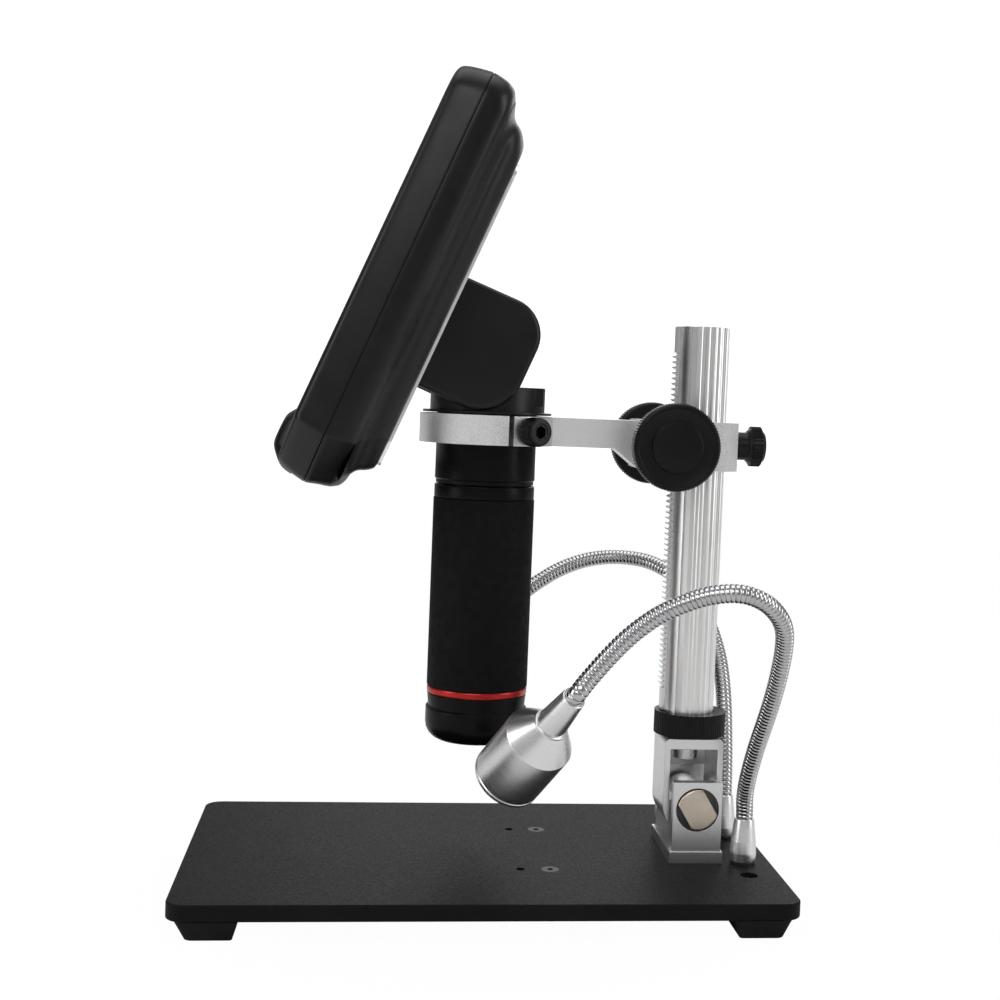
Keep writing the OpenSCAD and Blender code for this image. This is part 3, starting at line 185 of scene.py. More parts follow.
def addFloor(shape):
    # white table that keeps a soft shadow close to the object
    material = newMaterial("whiteTable", (0.9, 0.9, 0.9), 0.8)
    nodes, links = material.node_tree.nodes, material.node_tree.links
    shader = nodes["Principled BSDF"]
    glow = nodes.new("ShaderNodeEmission")
    path = nodes.new("ShaderNodeLightPath")
    coordinates = nodes.new("ShaderNodeTexCoord")
    distance = nodes.new("ShaderNodeVectorMath")
    distance.operation = "LENGTH"
    spread = nodes.new("ShaderNodeMapRange")
    for socket, key in (("From Min", "near"), ("From Max", "far"), ("To Min", "nearShare")):
        spread.inputs[socket].default_value = shape[key]
    share = nodes.new("ShaderNodeMath")
    share.operation = "MULTIPLY"
    mix = nodes.new("ShaderNodeMixShader")
    for start, end in (
        (coordinates.outputs["Object"], distance.inputs[0]),
        (distance.outputs["Value"], spread.inputs["Value"]),
        (path.outputs["Is Camera Ray"], share.inputs[0]), (spread.outputs["Result"], share.inputs[1]),
        (share.outputs[0], mix.inputs[0]), (shader.outputs[0], mix.inputs[1]),
        (glow.outputs[0], mix.inputs[2]), (mix.outputs[0], nodes["Material Output"].inputs["Surface"]),
    ):
        links.new(start, end)
    floor = addSheet("whiteTable", shape["size"], material)


addFloor(floorShape)
print("camera, lights and floor")


# materials

def addNode(material, kind, inputs=None, **settings):
    node = material.node_tree.nodes.new("ShaderNode" + kind)
    for key, value in settings.items():
        setattr(node, key, value)
    for key, value in (inputs or {}).items():
        node.inputs[key].default_value = value
    return node


def stretchedCoordinates(material, stretch, onSurface):
    # object coordinates, or the piece's own turned UV map, with a scale for each axis
    if onSurface:
        source = addNode(material, "UVMap", uv_map="turned").outputs["UV"]
    else:
        source = addNode(material, "TexCoord").outputs["Object"]
    mapping = addNode(material, "Mapping", {"Scale": stretch})
    material.node_tree.links.new(source, mapping.inputs["Vector"])
    return mapping.outputs["Vector"]


def grain(material, size, roughness=None, bump=0.0, tint=None, share=1.0, stretch=(1, 1, 1),
          onSurface=False, detail=3.0):
    # noise of that size in mm that changes the roughness, lifts the surface by bump mm and mixes in a tint
    links = material.node_tree.links
    shader = material.node_tree.nodes["Principled BSDF"]
    noise = addNode(material, "TexNoise", {"Scale": 1 / (size * mm), "Detail": detail, "Roughness": 0.6})
    links.new(stretchedCoordinates(material, stretch, onSurface), noise.inputs["Vector"])
    if roughness:
        spread = addNode(material, "MapRange", {"From Min": 0.3, "From Max": 0.7,
                                                "To Min": roughness[0], "To Max": roughness[1]})
        links.new(noise.outputs[0], spread.inputs["Value"])
        links.new(spread.outputs["Result"], shader.inputs["Roughness"])
    if bump:
        lift = addNode(material, "Bump", {"Strength": 1.0, "Distance": bump * mm})
        links.new(noise.outputs[0], lift.inputs["Height"])
        if shader.inputs["Normal"].is_linked:
            links.new(shader.inputs["Normal"].links[0].from_socket, lift.inputs["Normal"])
        links.new(lift.outputs["Normal"], shader.inputs["Normal"])
    if tint:
        amount = addNode(material, "MapRange", {"From Min": 0.4, "From Max": 0.75, "To Max": share})
        links.new(noise.outputs[0], amount.inputs["Value"])
        mix = addNode(material, "Mix", data_type="RGBA")
        if shader.inputs["Base Color"].is_linked:
            links.new(shader.inputs["Base Color"].links[0].from_socket, mix.inputs[6])
        else:
            mix.inputs[6].default_value = shader.inputs["Base Color"].default_value
        mix.inputs[7].default_value = (*tint, 1)
        links.new(amount.outputs["Result"], mix.inputs[0])
        links.new(mix.outputs[2], shader.inputs["Base Color"])


def powderCoat():
    material = newMaterial("charcoalPowderCoat", (0.0065, 0.0065, 0.0068), 0.5,
                           extra={"Specular IOR Level": 0.06})
    grain(material, 22, tint=(0.0095, 0.0095, 0.0098))
    grain(material, 0.28, bump=0.02, detail=2)
    grain(material, 0.9, roughness=(0.4, 0.56), bump=0.05)
    return material


def satinBlackPlastic(name="satinBlackPlastic", roughness=(0.3, 0.4)):
    material = newMaterial(name, (0.0045, 0.0045, 0.0048), 0.35, extra={"Specular IOR Level": 0.26})
    grain(material, 30, tint=(0.0065, 0.0065, 0.007))
    grain(material, 9, roughness=roughness)
    grain(material, 0.12, bump=0.006, detail=2)
    return material


def blackAnodised():
    material = newMaterial("blackAnodised", (0.003, 0.003, 0.0032), 0.35, extra={"Specular IOR Level": 0.2})
    grain(material, 12, tint=(0.005, 0.005, 0.0053))
    grain(material, 0.35, roughness=(0.28, 0.42), bump=0.004)
    return material


def turnedBlack():
    material = newMaterial("turnedBlack", (0.0022, 0.0022, 0.0024), 0.3, extra={"Specular IOR Level": 0.1})
    grain(material, 14, tint=(0.004, 0.004, 0.0042))
    grain(material, 0.25, roughness=(0.26, 0.36), bump=0.004, stretch=(0.004, 1, 1), onSurface=True)
    return material


def rubber(name, colour):
    material = newMaterial(name, colour, 0.75, extra={"Specular IOR Level": 0.12})
    grain(material, 18, tint=tuple(1.5 * part for part in colour))
    grain(material, 0.22, bump=0.03, detail=2)
    grain(material, 3, roughness=(0.62, 0.8))
    return material


def clearAnodised(name, colour, stretch=(1, 1, 1)):
    # satin aluminium with fine lines along the longest way of the stretch
    material = newMaterial(name, colour, 0.3, 1.0)
    grain(material, 16, tint=tuple(0.9 * part for part in colour), share=0.4)
    grain(material, 0.22, roughness=(0.28, 0.36), bump=0.0015, stretch=stretch)
    return material


def beadBlasted():
    material = newMaterial("beadBlastedAluminium", (0.9, 0.9, 0.905), 0.4, 1.0)
    grain(material, 0.3, tint=(0.62, 0.62, 0.625), detail=1)
    grain(material, 0.45, bump=0.06, detail=1)
    grain(material, 0.2, roughness=(0.28, 0.5), bump=0.02, detail=1)
    return material


def turnedAluminium():
    material = newMaterial("turnedAluminium", (0.76, 0.76, 0.765), 0.27, 1.0)
    grain(material, 9, tint=(0.68, 0.68, 0.685), share=0.4)
    grain(material, 0.5, roughness=(0.27, 0.31), stretch=(0.002, 1, 1), onSurface=True, detail=1)
    return material


def woundSteel():
    material = newMaterial("woundChromedSteel", (0.5, 0.5, 0.51), 0.18, 1.0)
    grain(material, 2.5, roughness=(0.14, 0.22), tint=(0.36, 0.36, 0.37), share=0.6)
    return material


def warmNickel():
    material = newMaterial("warmNickel", (0.6, 0.52, 0.43), 0.28, 1.0)
    grain(material, 5, tint=(0.5, 0.43, 0.36))
    grain(material, 0.25, roughness=(0.22, 0.36), bump=0.004, stretch=(1, 1, 6))
    return material


def screwSteel(name="screwSteel", colour=(0.56, 0.56, 0.57)):
    material = newMaterial(name, colour, 0.3, 1.0)
    grain(material, 2, tint=tuple(0.75 * part for part in colour))
    grain(material, 0.2, roughness=(0.22, 0.38), bump=0.003)
    return material


def redAnodised():
    material = newMaterial("redAnodised", (0.42, 0.012, 0.01), 0.26, 0.55)
    grain(material, 6, tint=(0.3, 0.008, 0.007))
    grain(material, 0.2, roughness=(0.2, 0.32), bump=0.003, stretch=(0.004, 1, 1), onSurface=True)
    return material


def solderMask():
    material = newMaterial("greenSolderMask", (0.012, 0.09, 0.035), 0.35, extra={"Coat Weight": 0.4})
    grain(material, 2.2, tint=(0.02, 0.15, 0.06))
    grain(material, 0.6, roughness=(0.25, 0.4), bump=0.02, detail=1)
    return material


def opticalGlass():
    material = newMaterial("coatedLensGlass", (0.9, 0.95, 0.97), 0.03,
                           extra={"Transmission Weight": 1.0, "IOR": 1.52, "Coat Weight": 0.3})
    grain(material, 14, roughness=(0.02, 0.06))
    return material


def screenGlass():
    material = newMaterial("screenGlass", (0.004, 0.0045, 0.006), 0.06,
                           extra={"Coat Weight": 0.5, "IOR": 1.5})
    grain(material, 40, roughness=(0.04, 0.09), tint=(0.006, 0.0065, 0.009))
    return material


def ledWhite():
    material = newMaterial("ledYellowWhite", (0.85, 0.78, 0.5), 0.4)
    grain(material, 1.5, roughness=(0.3, 0.5), tint=(0.9, 0.86, 0.7))
    return material


finish = {
    "powder": powderCoat(), "plastic": satinBlackPlastic(), "anodised": blackAnodised(),
    "turnedBlack": turnedBlack(), "foot": rubber("footRubber", (0.006, 0.006, 0.0063)),
    "grip": rubber("gripRubber", (0.0024, 0.0024, 0.0026)),
    "silver": clearAnodised("clearAnodised", (0.7, 0.7, 0.705)),
    "drawn": clearAnodised("drawnAluminium", (0.78, 0.775, 0.77), stretch=(1, 1, 0.02)),
    "plate": clearAnodised("brushedPlate", (0.9, 0.9, 0.91), stretch=(1, 0.02, 1)),
    "blasted": beadBlasted(), "turned": turnedAluminium(), "wound": woundSteel(), "nickel": warmNickel(),
    # near-black steel, painted shade for the recess round the tilt bolt's head
    "steel": screwSteel(), "paintedShadeSteel": screwSteel("paintedShadeScrewSteel", (0.07, 0.07, 0.072)),
    "red": redAnodised(), "board": solderMask(), "glass": opticalGlass(), "screen": screenGlass(),
    "led": ledWhite(), "module": satinBlackPlastic("displayModule", (0.4, 0.55)),
}
print("materials:", len(finish))


# shapes

def boxMm(node):
    low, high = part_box(node)
    return Vector(low) / mm, Vector(high) / mm


def roundCorners(corners, steps=6):
    # corners are (x, y, radius); a radius of 0 keeps the corner as one point
    points = []
    for i, (x, y, radius) in enumerate(corners):
        here = Vector((x, y))
        if radius <= 0:
            points.append((x, y))
            continue
        before = (Vector(corners[i - 1][:2]) - here).normalized()
        after = (Vector(corners[(i + 1) % len(corners)][:2]) - here).normalized()
        half = before.angle(after) / 2
        middle = here + (before + after).normalized() * radius / math.sin(half)
        start = here + before * radius / math.tan(half) - middle
        end = here + after * radius / math.tan(half) - middle
        fromTurn = math.atan2(start.y, start.x)
        turn = (math.atan2(end.y, end.x) - fromTurn + math.pi) % (2 * math.pi) - math.pi
        for k in range(steps + 1):
            angle = fromTurn + turn * k / steps
            points.append((middle.x + radius * math.cos(angle), middle.y + radius * math.sin(angle)))
    return points


def fairLine(points, steps):
    # smooth line through points of any dimension
    line = []
    last = len(points) - 1
    for i in range(last):
        a, b, c, d = (points[min(max(k, 0), last)] for k in (i - 1, i, i + 1, i + 2))
        for k in range(steps):
            t = k / steps
            line.append(tuple(
                0.5 * (2 * q + (r - p) * t + (2 * p - 5 * q + 4 * r - s) * t * t
                       + (3 * q - 3 * r + s - p) * t ** 3)
                for p, q, r, s in zip(a, b, c, d)))
    line.append(tuple(points[last]))
    return line


def lathe(bm, profile, place, steps, closed=True):
    # turns a (radius, height) outline in mm about the local Z of place
    # a point with a third entry makes a six-sided ring
    turned = bm.loops.layers.uv.get("turned") or bm.loops.layers.uv.new("turned")
    rings = []
    along = 0
    for i, point in enumerate(profile):
        if i:
            along += math.dist(point[:2], profile[i - 1][:2]) * mm
        radius, height = point[0] * mm, point[1] * mm
        if radius == 0:
            rings.append(([bm.verts.new(place @ Vector((0, 0, height)))], along))
            continue
        ring = []
        for k in range(steps):
            turn = 2 * math.pi * k / steps
            reach = radius
            if len(point) > 2:
                reach /= math.cos((turn + math.pi / 6) % (math.pi / 3) - math.pi / 6)
            corner = Vector((reach * math.cos(turn), reach * math.sin(turn), height))
            ring.append(bm.verts.new(place @ corner))
        rings.append((ring, along))
    following = rings[1:] + (rings[:1] if closed else [])
    for (ring, start), (other, end) in zip(rings, following):
        for k in range(steps):
            corners = {}
            for loop, turn, height in (
                (ring, k, start), (ring, k + 1, start), (other, k + 1, end), (other, k, end),
            ):
                corners.setdefault(loop[turn % len(loop)], (turn / steps, height))
            if len(corners) < 3:
                continue
            face = bm.faces.new(corners.keys())
            for loop in face.loops:
                loop[turned].uv = corners[loop.vert]


def loft(bm, rings):
    # skin over rings of as many points each, with both ends closed
    loops = [[bm.verts.new(point) for point in ring] for ring in rings]
    for ring, other in zip(loops, loops[1:]):
        for k in range(len(ring)):
            bm.faces.new((ring[k - 1], ring[k], other[k], other[k - 1]))
    bm.faces.new(loops[0])
    bm.faces.new(reversed(loops[-1]))


def block(low, high, place):
    # box between two corners in mm, as a mesh of its own
    bm = bmesh.new()
    size = (Vector(high) - Vector(low)) * mm
    middle = Matrix.Translation((Vector(high) + Vector(low)) * mm / 2)
    bmesh.ops.create_cube(bm, size=1, matrix=place @ middle @ Matrix.Diagonal((*size, 1)))
    return bm


def toObject(bm, name):
    bmesh.ops.recalc_face_normals(bm, faces=bm.faces)
    mesh = bpy.data.meshes.new(name)
    bm.to_mesh(mesh)
    bm.free()
    piece = bpy.data.objects.new(name, mesh)
    scene.collection.objects.link(piece)
    return piece


def baked(piece):
    # the piece's own mesh takes the result of its modifiers
    depsgraph = bpy.context.evaluated_depsgraph_get()
    mesh = bpy.data.meshes.new_from_object(piece.evaluated_get(depsgraph))
    piece.modifiers.clear()
    piece.data = mesh


def carve(bm, tools, operation="DIFFERENCE"):
    piece = toObject(bm, "blank")
    helpers = []
    for tool in tools:
        helper = toObject(tool, "tool")
        helpers.append(helper)
        cut = piece.modifiers.new("cut", "BOOLEAN")
        cut.object = helper
        cut.operation = operation
        cut.solver = "EXACT"
    baked(piece)
    result = bmesh.new()
    result.from_mesh(piece.data)
    for helper in helpers + [piece]:
        bpy.data.objects.remove(helper)
    return result


def finishPiece(name, bm, nodes, material, smooth=32, bevel=0.0, bevelSteps=2, where=None):
    # nodes are the CAD nodes that the piece stands for; it rides on their body
    bmesh.ops.remove_doubles(bm, verts=bm.verts, dist=1e-6)
    chosen = [float(where(edge)) for edge in bm.edges] if where else None
    piece = toObject(bm, name)
    if bevel:
        edge = piece.modifiers.new("edge", "BEVEL")
        edge.width = bevel * mm
        edge.segments = bevelSteps
        edge.limit_method = "ANGLE"
        edge.angle_limit = math.radians(smooth)
        edge.use_clamp_overlap = True
        if where:
            weights = piece.data.attributes.new("bevel_weight_edge", "FLOAT", "EDGE")
            weights.data.foreach_set("value", chosen)
            edge.limit_method = "WEIGHT"
        baked(piece)
    piece.data.shade_smooth()
    piece.data.set_sharp_from_angle(angle=math.radians(smooth))
    if bevel:
        # flat faces stay flat beside their rounded edges
        even = piece.modifiers.new("even", "WEIGHTED_NORMAL")
        even.keep_sharp = True
        baked(piece)
    piece.data.name = name
    piece.data.materials.clear()
    piece.data.materials.append(material)
    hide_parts(*nodes)
    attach(piece, bodyOf[nodes[0]])


def refined(node, name, material, smooth=32, bevel=0.0, bevelSteps=2, where=None):
    # merged copy of a CAD node with softened edges and smooth round faces
    bm = bmesh.new()
    bm.from_mesh(frame["nodes"][node].data)
    bmesh.ops.remove_doubles(bm, verts=bm.verts, dist=2e-6)
    bmesh.ops.dissolve_limit(bm, angle_limit=math.radians(0.6), verts=bm.verts, edges=bm.edges)
    finishPiece(name, bm, [node], material, smooth, bevel, bevelSteps, where)


def dress(node, material):
    # a CAD node that keeps its own shape
    mesh = frame["nodes"][node].data
    mesh.materials.clear()
    mesh.materials.append(material)


def upright(x, y, z=0):
    return Matrix.Translation(Vector((x, y, z)) * mm)


def pointing(x, y, z, direction):
    # local Z along a direction
    return upright(x, y, z) @ Vector(direction).to_track_quat("Z", "Y").to_matrix().to_4x4()


# ridges, made by Geometry Nodes

def newTree(name, inputs):
    # a tree that takes and gives geometry, with named inputs, and the identifiers of those inputs
    tree = bpy.data.node_groups.new(name, "GeometryNodeTree")
    tree.interface.new_socket("Geometry", in_out="INPUT", socket_type="NodeSocketGeometry")
    sockets = {}
    for label, kind in inputs.items():
        socket = tree.interface.new_socket(label, in_out="INPUT", socket_type="NodeSocket" + kind)
        sockets[label] = socket.identifier
    tree.interface.new_socket("Geometry", in_out="OUTPUT", socket_type="NodeSocketGeometry")
    return tree, sockets, tree.nodes.new("NodeGroupInput")


def endTree(tree, source, result):
    # makes the instances real and gives the result its finish
    realize = tree.nodes.new("GeometryNodeRealizeInstances")
    paint = tree.nodes.new("GeometryNodeSetMaterial")
    out = tree.nodes.new("NodeGroupOutput")
    tree.links.new(result.outputs[0], realize.inputs[0])
    tree.links.new(realize.outputs[0], paint.inputs["Geometry"])
    tree.links.new(source.outputs["Finish"], paint.inputs["Material"])
    tree.links.new(paint.outputs[0], out.inputs[0])


def ringTree():
    tree, sockets, source = newTree("ridgeRing", {
        "Count": "Int", "Radius": "Float", "Length": "Float", "Height": "Float", "Width": "Float",
        "Sides": "Int", "Finish": "Material",
    })
    nodes, links = tree.nodes, tree.links
    circle = nodes.new("GeometryNodeMeshCircle")
    ridge = nodes.new("GeometryNodeMeshCylinder")
    ridge.inputs["Radius"].default_value = 1
    ridge.inputs["Depth"].default_value = 1
    size = nodes.new("ShaderNodeCombineXYZ")
    face = nodes.new("GeometryNodeInputPosition")
    turn = nodes.new("FunctionNodeAlignRotationToVector")
    turn.axis = "X"
    turn.pivot_axis = "Z"
    scatter = nodes.new("GeometryNodeInstanceOnPoints")
    for start, end in (
        (source.outputs["Count"], circle.inputs["Vertices"]),
        (source.outputs["Radius"], circle.inputs["Radius"]),
        (source.outputs["Sides"], ridge.inputs["Vertices"]), (source.outputs["Height"], size.inputs["X"]),
        (source.outputs["Width"], size.inputs["Y"]), (source.outputs["Length"], size.inputs["Z"]),
        (face.outputs[0], turn.inputs["Vector"]), (circle.outputs[0], scatter.inputs["Points"]),
        (ridge.outputs[0], scatter.inputs["Instance"]), (turn.outputs[0], scatter.inputs["Rotation"]),
        (size.outputs[0], scatter.inputs["Scale"]),
    ):
        links.new(start, end)
    endTree(tree, source, scatter)
    return tree, sockets


ridgeTree, ridgeSockets = ringTree()


def grown(tree, host, values, sockets):
    # runs a node tree on a host object and returns the plain mesh
    modifier = host.modifiers.new("grow", "NODES")
    modifier.node_group = tree
    for label, value in values.items():
        modifier[sockets[label]] = value
    baked(host)
    mesh = host.data
    bpy.data.objects.remove(host)
    return mesh


def addRidges(bm, place, count, radius, length, height, material):
    # straight four-sided ridges round a rim, centred on place
    host = bpy.data.objects.new("ridges", bpy.data.meshes.new("ridges"))
    scene.collection.objects.link(host)
    values = {"Count": count, "Radius": radius * mm, "Length": length * mm, "Height": height * mm,
              "Width": math.pi * radius * mm / count, "Sides": 4, "Finish": material}
    mesh = grown(ridgeTree, host, values, ridgeSockets)
    mesh.transform(place)
    bm.from_mesh(mesh)


print("tools ready")


# base

plateLow, plateHigh = boxMm("base_plate")
plateTop = plateHigh.z
plateCorner = 6


def onRim(edge):
    # the plate's outer edges, without those of its holes
    middle = (edge.verts[0].co + edge.verts[1].co) / 2 / mm
    outside = abs(middle.x) > plateHigh.x - plateCorner or abs(middle.y) > plateHigh.y - plateCorner
    return outside and edge.is_manifold and edge.calc_face_angle() > math.radians(32)


refined("base_plate", "basePlateCoated", finish["powder"], bevel=0.5, bevelSteps=3, where=onRim)

footShape = {
    # outlines from the foot's middle: inner end, outer end, inner side, outer side
    "top": (-10.4, 10, -10, 10), "bottom": (-8.8, 5.9, -6.5, 9.9), "inset": (12, 10), "height": plateLow.z,
    "recess": 3.5, "recessDepth": 2.4, "screw": 1.25, "soft": 0.25, "corner": 2.5,
}


def addFeet(shape, node):
    def ring(part, trim, z, x, y):
        # part goes from 0 at the bottom to 1 at the top; trim draws the outline in
        low, high, inner, outer = (a + (b - a) * part for a, b in zip(shape["bottom"], shape["top"]))
        corner = shape["corner"] + (plateCorner - shape["corner"]) * part
        outline = roundCorners([
            (low + trim, inner + trim, 1), (high - trim, inner + trim, 1),
            (high - trim, outer - trim, corner), (low + trim, outer - trim, 1),
        ])
        middle = Vector((plateHigh.x - shape["inset"][0], plateHigh.y - shape["inset"][1]))
        return [Vector((x * (middle.x + u), y * (middle.y + v), z)) * mm for u, v in outline]

    feet = bmesh.new()
    height, soft = shape["height"], shape["soft"]
    quarter = [math.radians(22.5 * k) for k in range(5)]
    steps = [(0, soft * (1 - math.sin(a)), soft * (1 - math.cos(a))) for a in quarter] + [(1, 0, height)]
    for x in (-1, 1):
        for y in (-1, 1):
            foot = bmesh.new()
            loft(foot, [ring(part, trim, z, x, y) for part, trim, z in steps])
            tools = []
            middle = upright(x * (plateHigh.x - shape["inset"][0]), y * (plateHigh.y - shape["inset"][1]))
            for radius, top in ((shape["recess"], shape["recessDepth"]), (shape["screw"], height + 1)):
                tool = bmesh.new()
                lathe(tool, [(0, -1), (radius, -1), (radius, top), (0, top)], middle, 48, closed=False)
                tools.append(tool)
            foot = carve(foot, tools)
            mesh = bpy.data.meshes.new("foot")
            foot.to_mesh(mesh)
            foot.free()
            feet.from_mesh(mesh)
    finishPiece("rubberFeet", feet, [node], finish["foot"])


addFeet(footShape, "base_feet")
refined("plate_screws", "plateScrewHeads", finish["anodised"])
for node in ("foot_screws", "bracket_screws"):
    dress(node, finish["steel"])
refined("wiring_cover", "wiringCoverMoulded", finish["plastic"], bevel=0.3)
dress("lamp_driver_board", finish["board"])
print("base")


# tilt joint and column

refined("tilt_bracket", "tiltBracketMilled", finish["silver"], bevel=0.35, bevelSteps=3)

boltShape = {
    # radii and depths behind the ear's face; the head stands proud of it, its two flats are turned in degrees
    "radius": 7.45, "headRadius": 7.1, "flats": 10, "turn": -31, "proud": 0.8, "seat": 3.05, "back": 3.2,
    "shank": 4, "chamfer": 0.5,
}


def addTiltBolt(shape):
    # a head with two flats, sunk into the round seat of the front ear
    low, high = boxMm("tilt_bolt")
    face = low.y + 0.2   # the ear's face, which the CAD's head stands proud of
    middle = ((low.x + high.x) / 2, (low.z + high.z) / 2)
    place = pointing(middle[0], 0, middle[1], (0, 1, 0))
    half, radius, shank, chamfer = shape["flats"] / 2, shape["headRadius"], shape["shank"], shape["chamfer"]
    front, seat, back = face - shape["proud"], face + shape["seat"], face + shape["back"]
    head = bmesh.new()
    outline = roundCorners([(0, front, 0), (radius, front, 0.7), (radius, seat, 0), (0, seat, 0)], 5)
    lathe(head, outline, place, 96, closed=False)
    turned = upright(middle[0], 0, middle[1]) @ Matrix.Rotation(math.radians(shape["turn"]), 4, "Y")
    slab = block((-half, face - 2, -9), (half, seat + 2, 9), turned)
    finishPiece("tiltBoltHead", carve(head, [slab], "INTERSECT"), ["tilt_bolt"], finish["nickel"], bevel=0.15)
    # the round seat and the shank get near-black steel: painted shade in the recess round the head
    body = bmesh.new()
    lathe(body, [
        (0, seat), (shape["radius"], seat), (shape["radius"], back), (shank, back), (shank, high.y - chamfer),
        (shank - chamfer, high.y), (0, high.y),
    ], place, 96, closed=False)
    finishPiece("tiltBoltShank", body, ["tilt_bolt"], finish["paintedShadeSteel"])


addTiltBolt(boltShape)
refined("tilt_nut", "tiltNutHex", finish["nickel"], bevel=0.4)
refined("column_yoke", "columnYokeMilled", finish["silver"], bevel=0.4, bevelSteps=3)
refined("column", "columnExtruded", finish["drawn"], smooth=24, bevel=0.12)
refined("rack", "rackMilled", finish["silver"], bevel=0.05, bevelSteps=1)
dress("column_screw", finish["steel"])
refined("lock_ring", "lockRingKnurled", finish["anodised"], smooth=28)
print("column")


# focus carriage

refined("arm_carriage", "carriageBlasted", finish["blasted"], bevel=0.3, bevelSteps=3)
dress("pinion_shaft", finish["steel"])

knobShape = {
    "reach": 27.1, "rim": 7.0, "radius": 14.6, "bossRadius": 8.6, "hub": 6.8, "hubRadius": 6, "bore": 2.5,
    "ridges": 90, "ridgeHeight": 0.3,
}


def addKnob(name, node, side, shape):
    low, high = boxMm(node)
    radius, rim, boss = shape["radius"], shape["rim"], shape["bossRadius"]
    hub, hubRadius, bore = shape["hub"], shape["hubRadius"], shape["bore"]
    base = side * (shape["reach"] - rim)
    place = pointing((low.x + high.x) / 2, base, (low.z + high.z) / 2, (0, side, 0))
    outline = roundCorners([
        (0, rim - 2, 0), (bore, rim - 2, 0), (bore, -hub, 0), (hubRadius, -hub, 0.4), (hubRadius, 0, 0.5),
        (radius, 0, 0.9), (radius, rim, 0.9), (radius - 1.4, rim, 0.3), (radius - 1.6, rim - 0.35, 0.2),
        (boss + 0.1, rim - 1.1, 0.3), (boss, rim, 0.35), (0, rim, 0),
    ], 4)
    bm = bmesh.new()
    lathe(bm, outline, place, 128, closed=False)
    addRidges(bm, place @ upright(0, 0, rim / 2), shape["ridges"], radius - 0.02, rim - 2.0,
              shape["ridgeHeight"], finish["anodised"])
    finishPiece(name, bm, [node], finish["anodised"], smooth=28)


addKnob("frontKnobKnurled", "front_knob", -1, knobShape)
addKnob("rearKnobKnurled", "rear_knob", 1, knobShape)

lockScrewShape = {
    "radius": 6.6, "head": 6.2, "hubRadius": 4.9, "hub": 4.6, "shank": 2.5, "ridges": 32, "ridgeLength": 3.6,
    "ridgeHeight": 0.45,
}


def addColumnLockScrew(shape):
    low, high = boxMm("column_lock_screw")
    place = pointing(0, 0, (low.z + high.z) / 2, (1, 0, 0))
    radius, hub, shank = shape["radius"], shape["hubRadius"], shape["shank"]
    headStart = high.x - shape["head"]
    hubStart = headStart - shape["hub"]
    outline = roundCorners([
        (0, low.x, 0), (shank, low.x, 0.4), (shank, hubStart, 0), (hub, hubStart, 0.4),
        (hub, headStart, 0.25), (radius - 1.3, headStart, 0.3), (radius, headStart + 1.5, 0.4),
        (radius, high.x - 1.8, 0.4), (radius - 1.5, high.x, 0.5), (0, high.x, 0),
    ], 4)
    bm = bmesh.new()
    lathe(bm, outline, place, 96, closed=False)
    addRidges(bm, place @ upright(0, 0, high.x - shape["head"] / 2), shape["ridges"], radius,
              shape["ridgeLength"], shape["ridgeHeight"], finish["anodised"])
    finishPiece("columnLockThumbScrew", bm, ["column_lock_screw"], finish["anodised"], smooth=28)


addColumnLockScrew(lockScrewShape)

collarScrewShape = {
    # tip and headStart are distances from the tube's axis, below is the drop from the tube's top
    "turn": -57, "below": 5.35, "tip": 17.45, "headStart": 23.45, "headLength": 6.6, "radius": 4.65,
    "shank": 2, "hexRadius": 2.0, "hexDepth": 3, "ridges": 44, "ridgeHeight": 0.22,
}
tubeLow, tubeHigh = boxMm("upper_barrel")
tubeX = (tubeLow.x + tubeHigh.x) / 2
tubeR = (tubeHigh.x - tubeLow.x) / 2


def addCollarScrew(shape):
    turn = math.radians(shape["turn"])
    place = pointing(tubeX, 0, tubeHigh.z - shape["below"], (math.cos(turn), math.sin(turn), 0))
    radius, shank, tip, start = shape["radius"], shape["shank"], shape["tip"], shape["headStart"]
    end = start + shape["headLength"]
    hexRadius, hexDepth = shape["hexRadius"], shape["hexDepth"]
    outline = roundCorners([
        (0, tip, 0), (shank, tip, 0.3), (shank, start, 0), (radius, start, 0.4),
        (radius, end, 0.6), (2.9, end, 0.2), (2.6, end - 0.3, 0),
    ], 4)
    outline += [(hexRadius, end - 0.3, "hex"), (hexRadius, end - hexDepth, "hex"), (0, end - hexDepth - 0.3)]
    bm = bmesh.new()
    lathe(bm, outline, place, 96, closed=False)
    addRidges(bm, place @ upright(0, 0, (start + end) / 2), shape["ridges"], radius,
              shape["headLength"] - 1.6, shape["ridgeHeight"], finish["anodised"])
    finishPiece("collarSocketScrew", bm, ["collar_screw"], finish["anodised"], smooth=28)


addCollarScrew(collarScrewShape)
print("carriage")


# microscope body

def addTurned(name, node, corners, material):
    bm = bmesh.new()
    lathe(bm, roundCorners(corners, 5), upright(tubeX, 0), 160)
    finishPiece(name, bm, [node], material, smooth=28)


gapZ = boxMm("focus_barrel")[1].z + 0.2   # middle of the groove between the two barrels
gripLow, gripHigh = (corner.z for corner in boxMm("grip_sleeve"))
ringLow, ringHigh = (corner.z for corner in boxMm("red_ring"))
barrelShape = {
    # core (under the grip) and spigot (inside the focus barrel) are steps in from the tube's radius
    # the next four are radii: both barrels' bores, the end cap's inside and its hole
    # chamber is the depth of the wider room in the tube's top
    "core": 0.8, "spigot": 2.2, "bore": 13.05, "guide": 14.6, "thread": 15.5, "opening": 11, "chamber": 19,
}
coreR = tubeR - barrelShape["core"]
spigotR = tubeR - barrelShape["spigot"]
boreR, guideR, threadR, openR = (barrelShape[key] for key in ("bore", "guide", "thread", "opening"))
chamberLow = tubeHigh.z - barrelShape["chamber"]

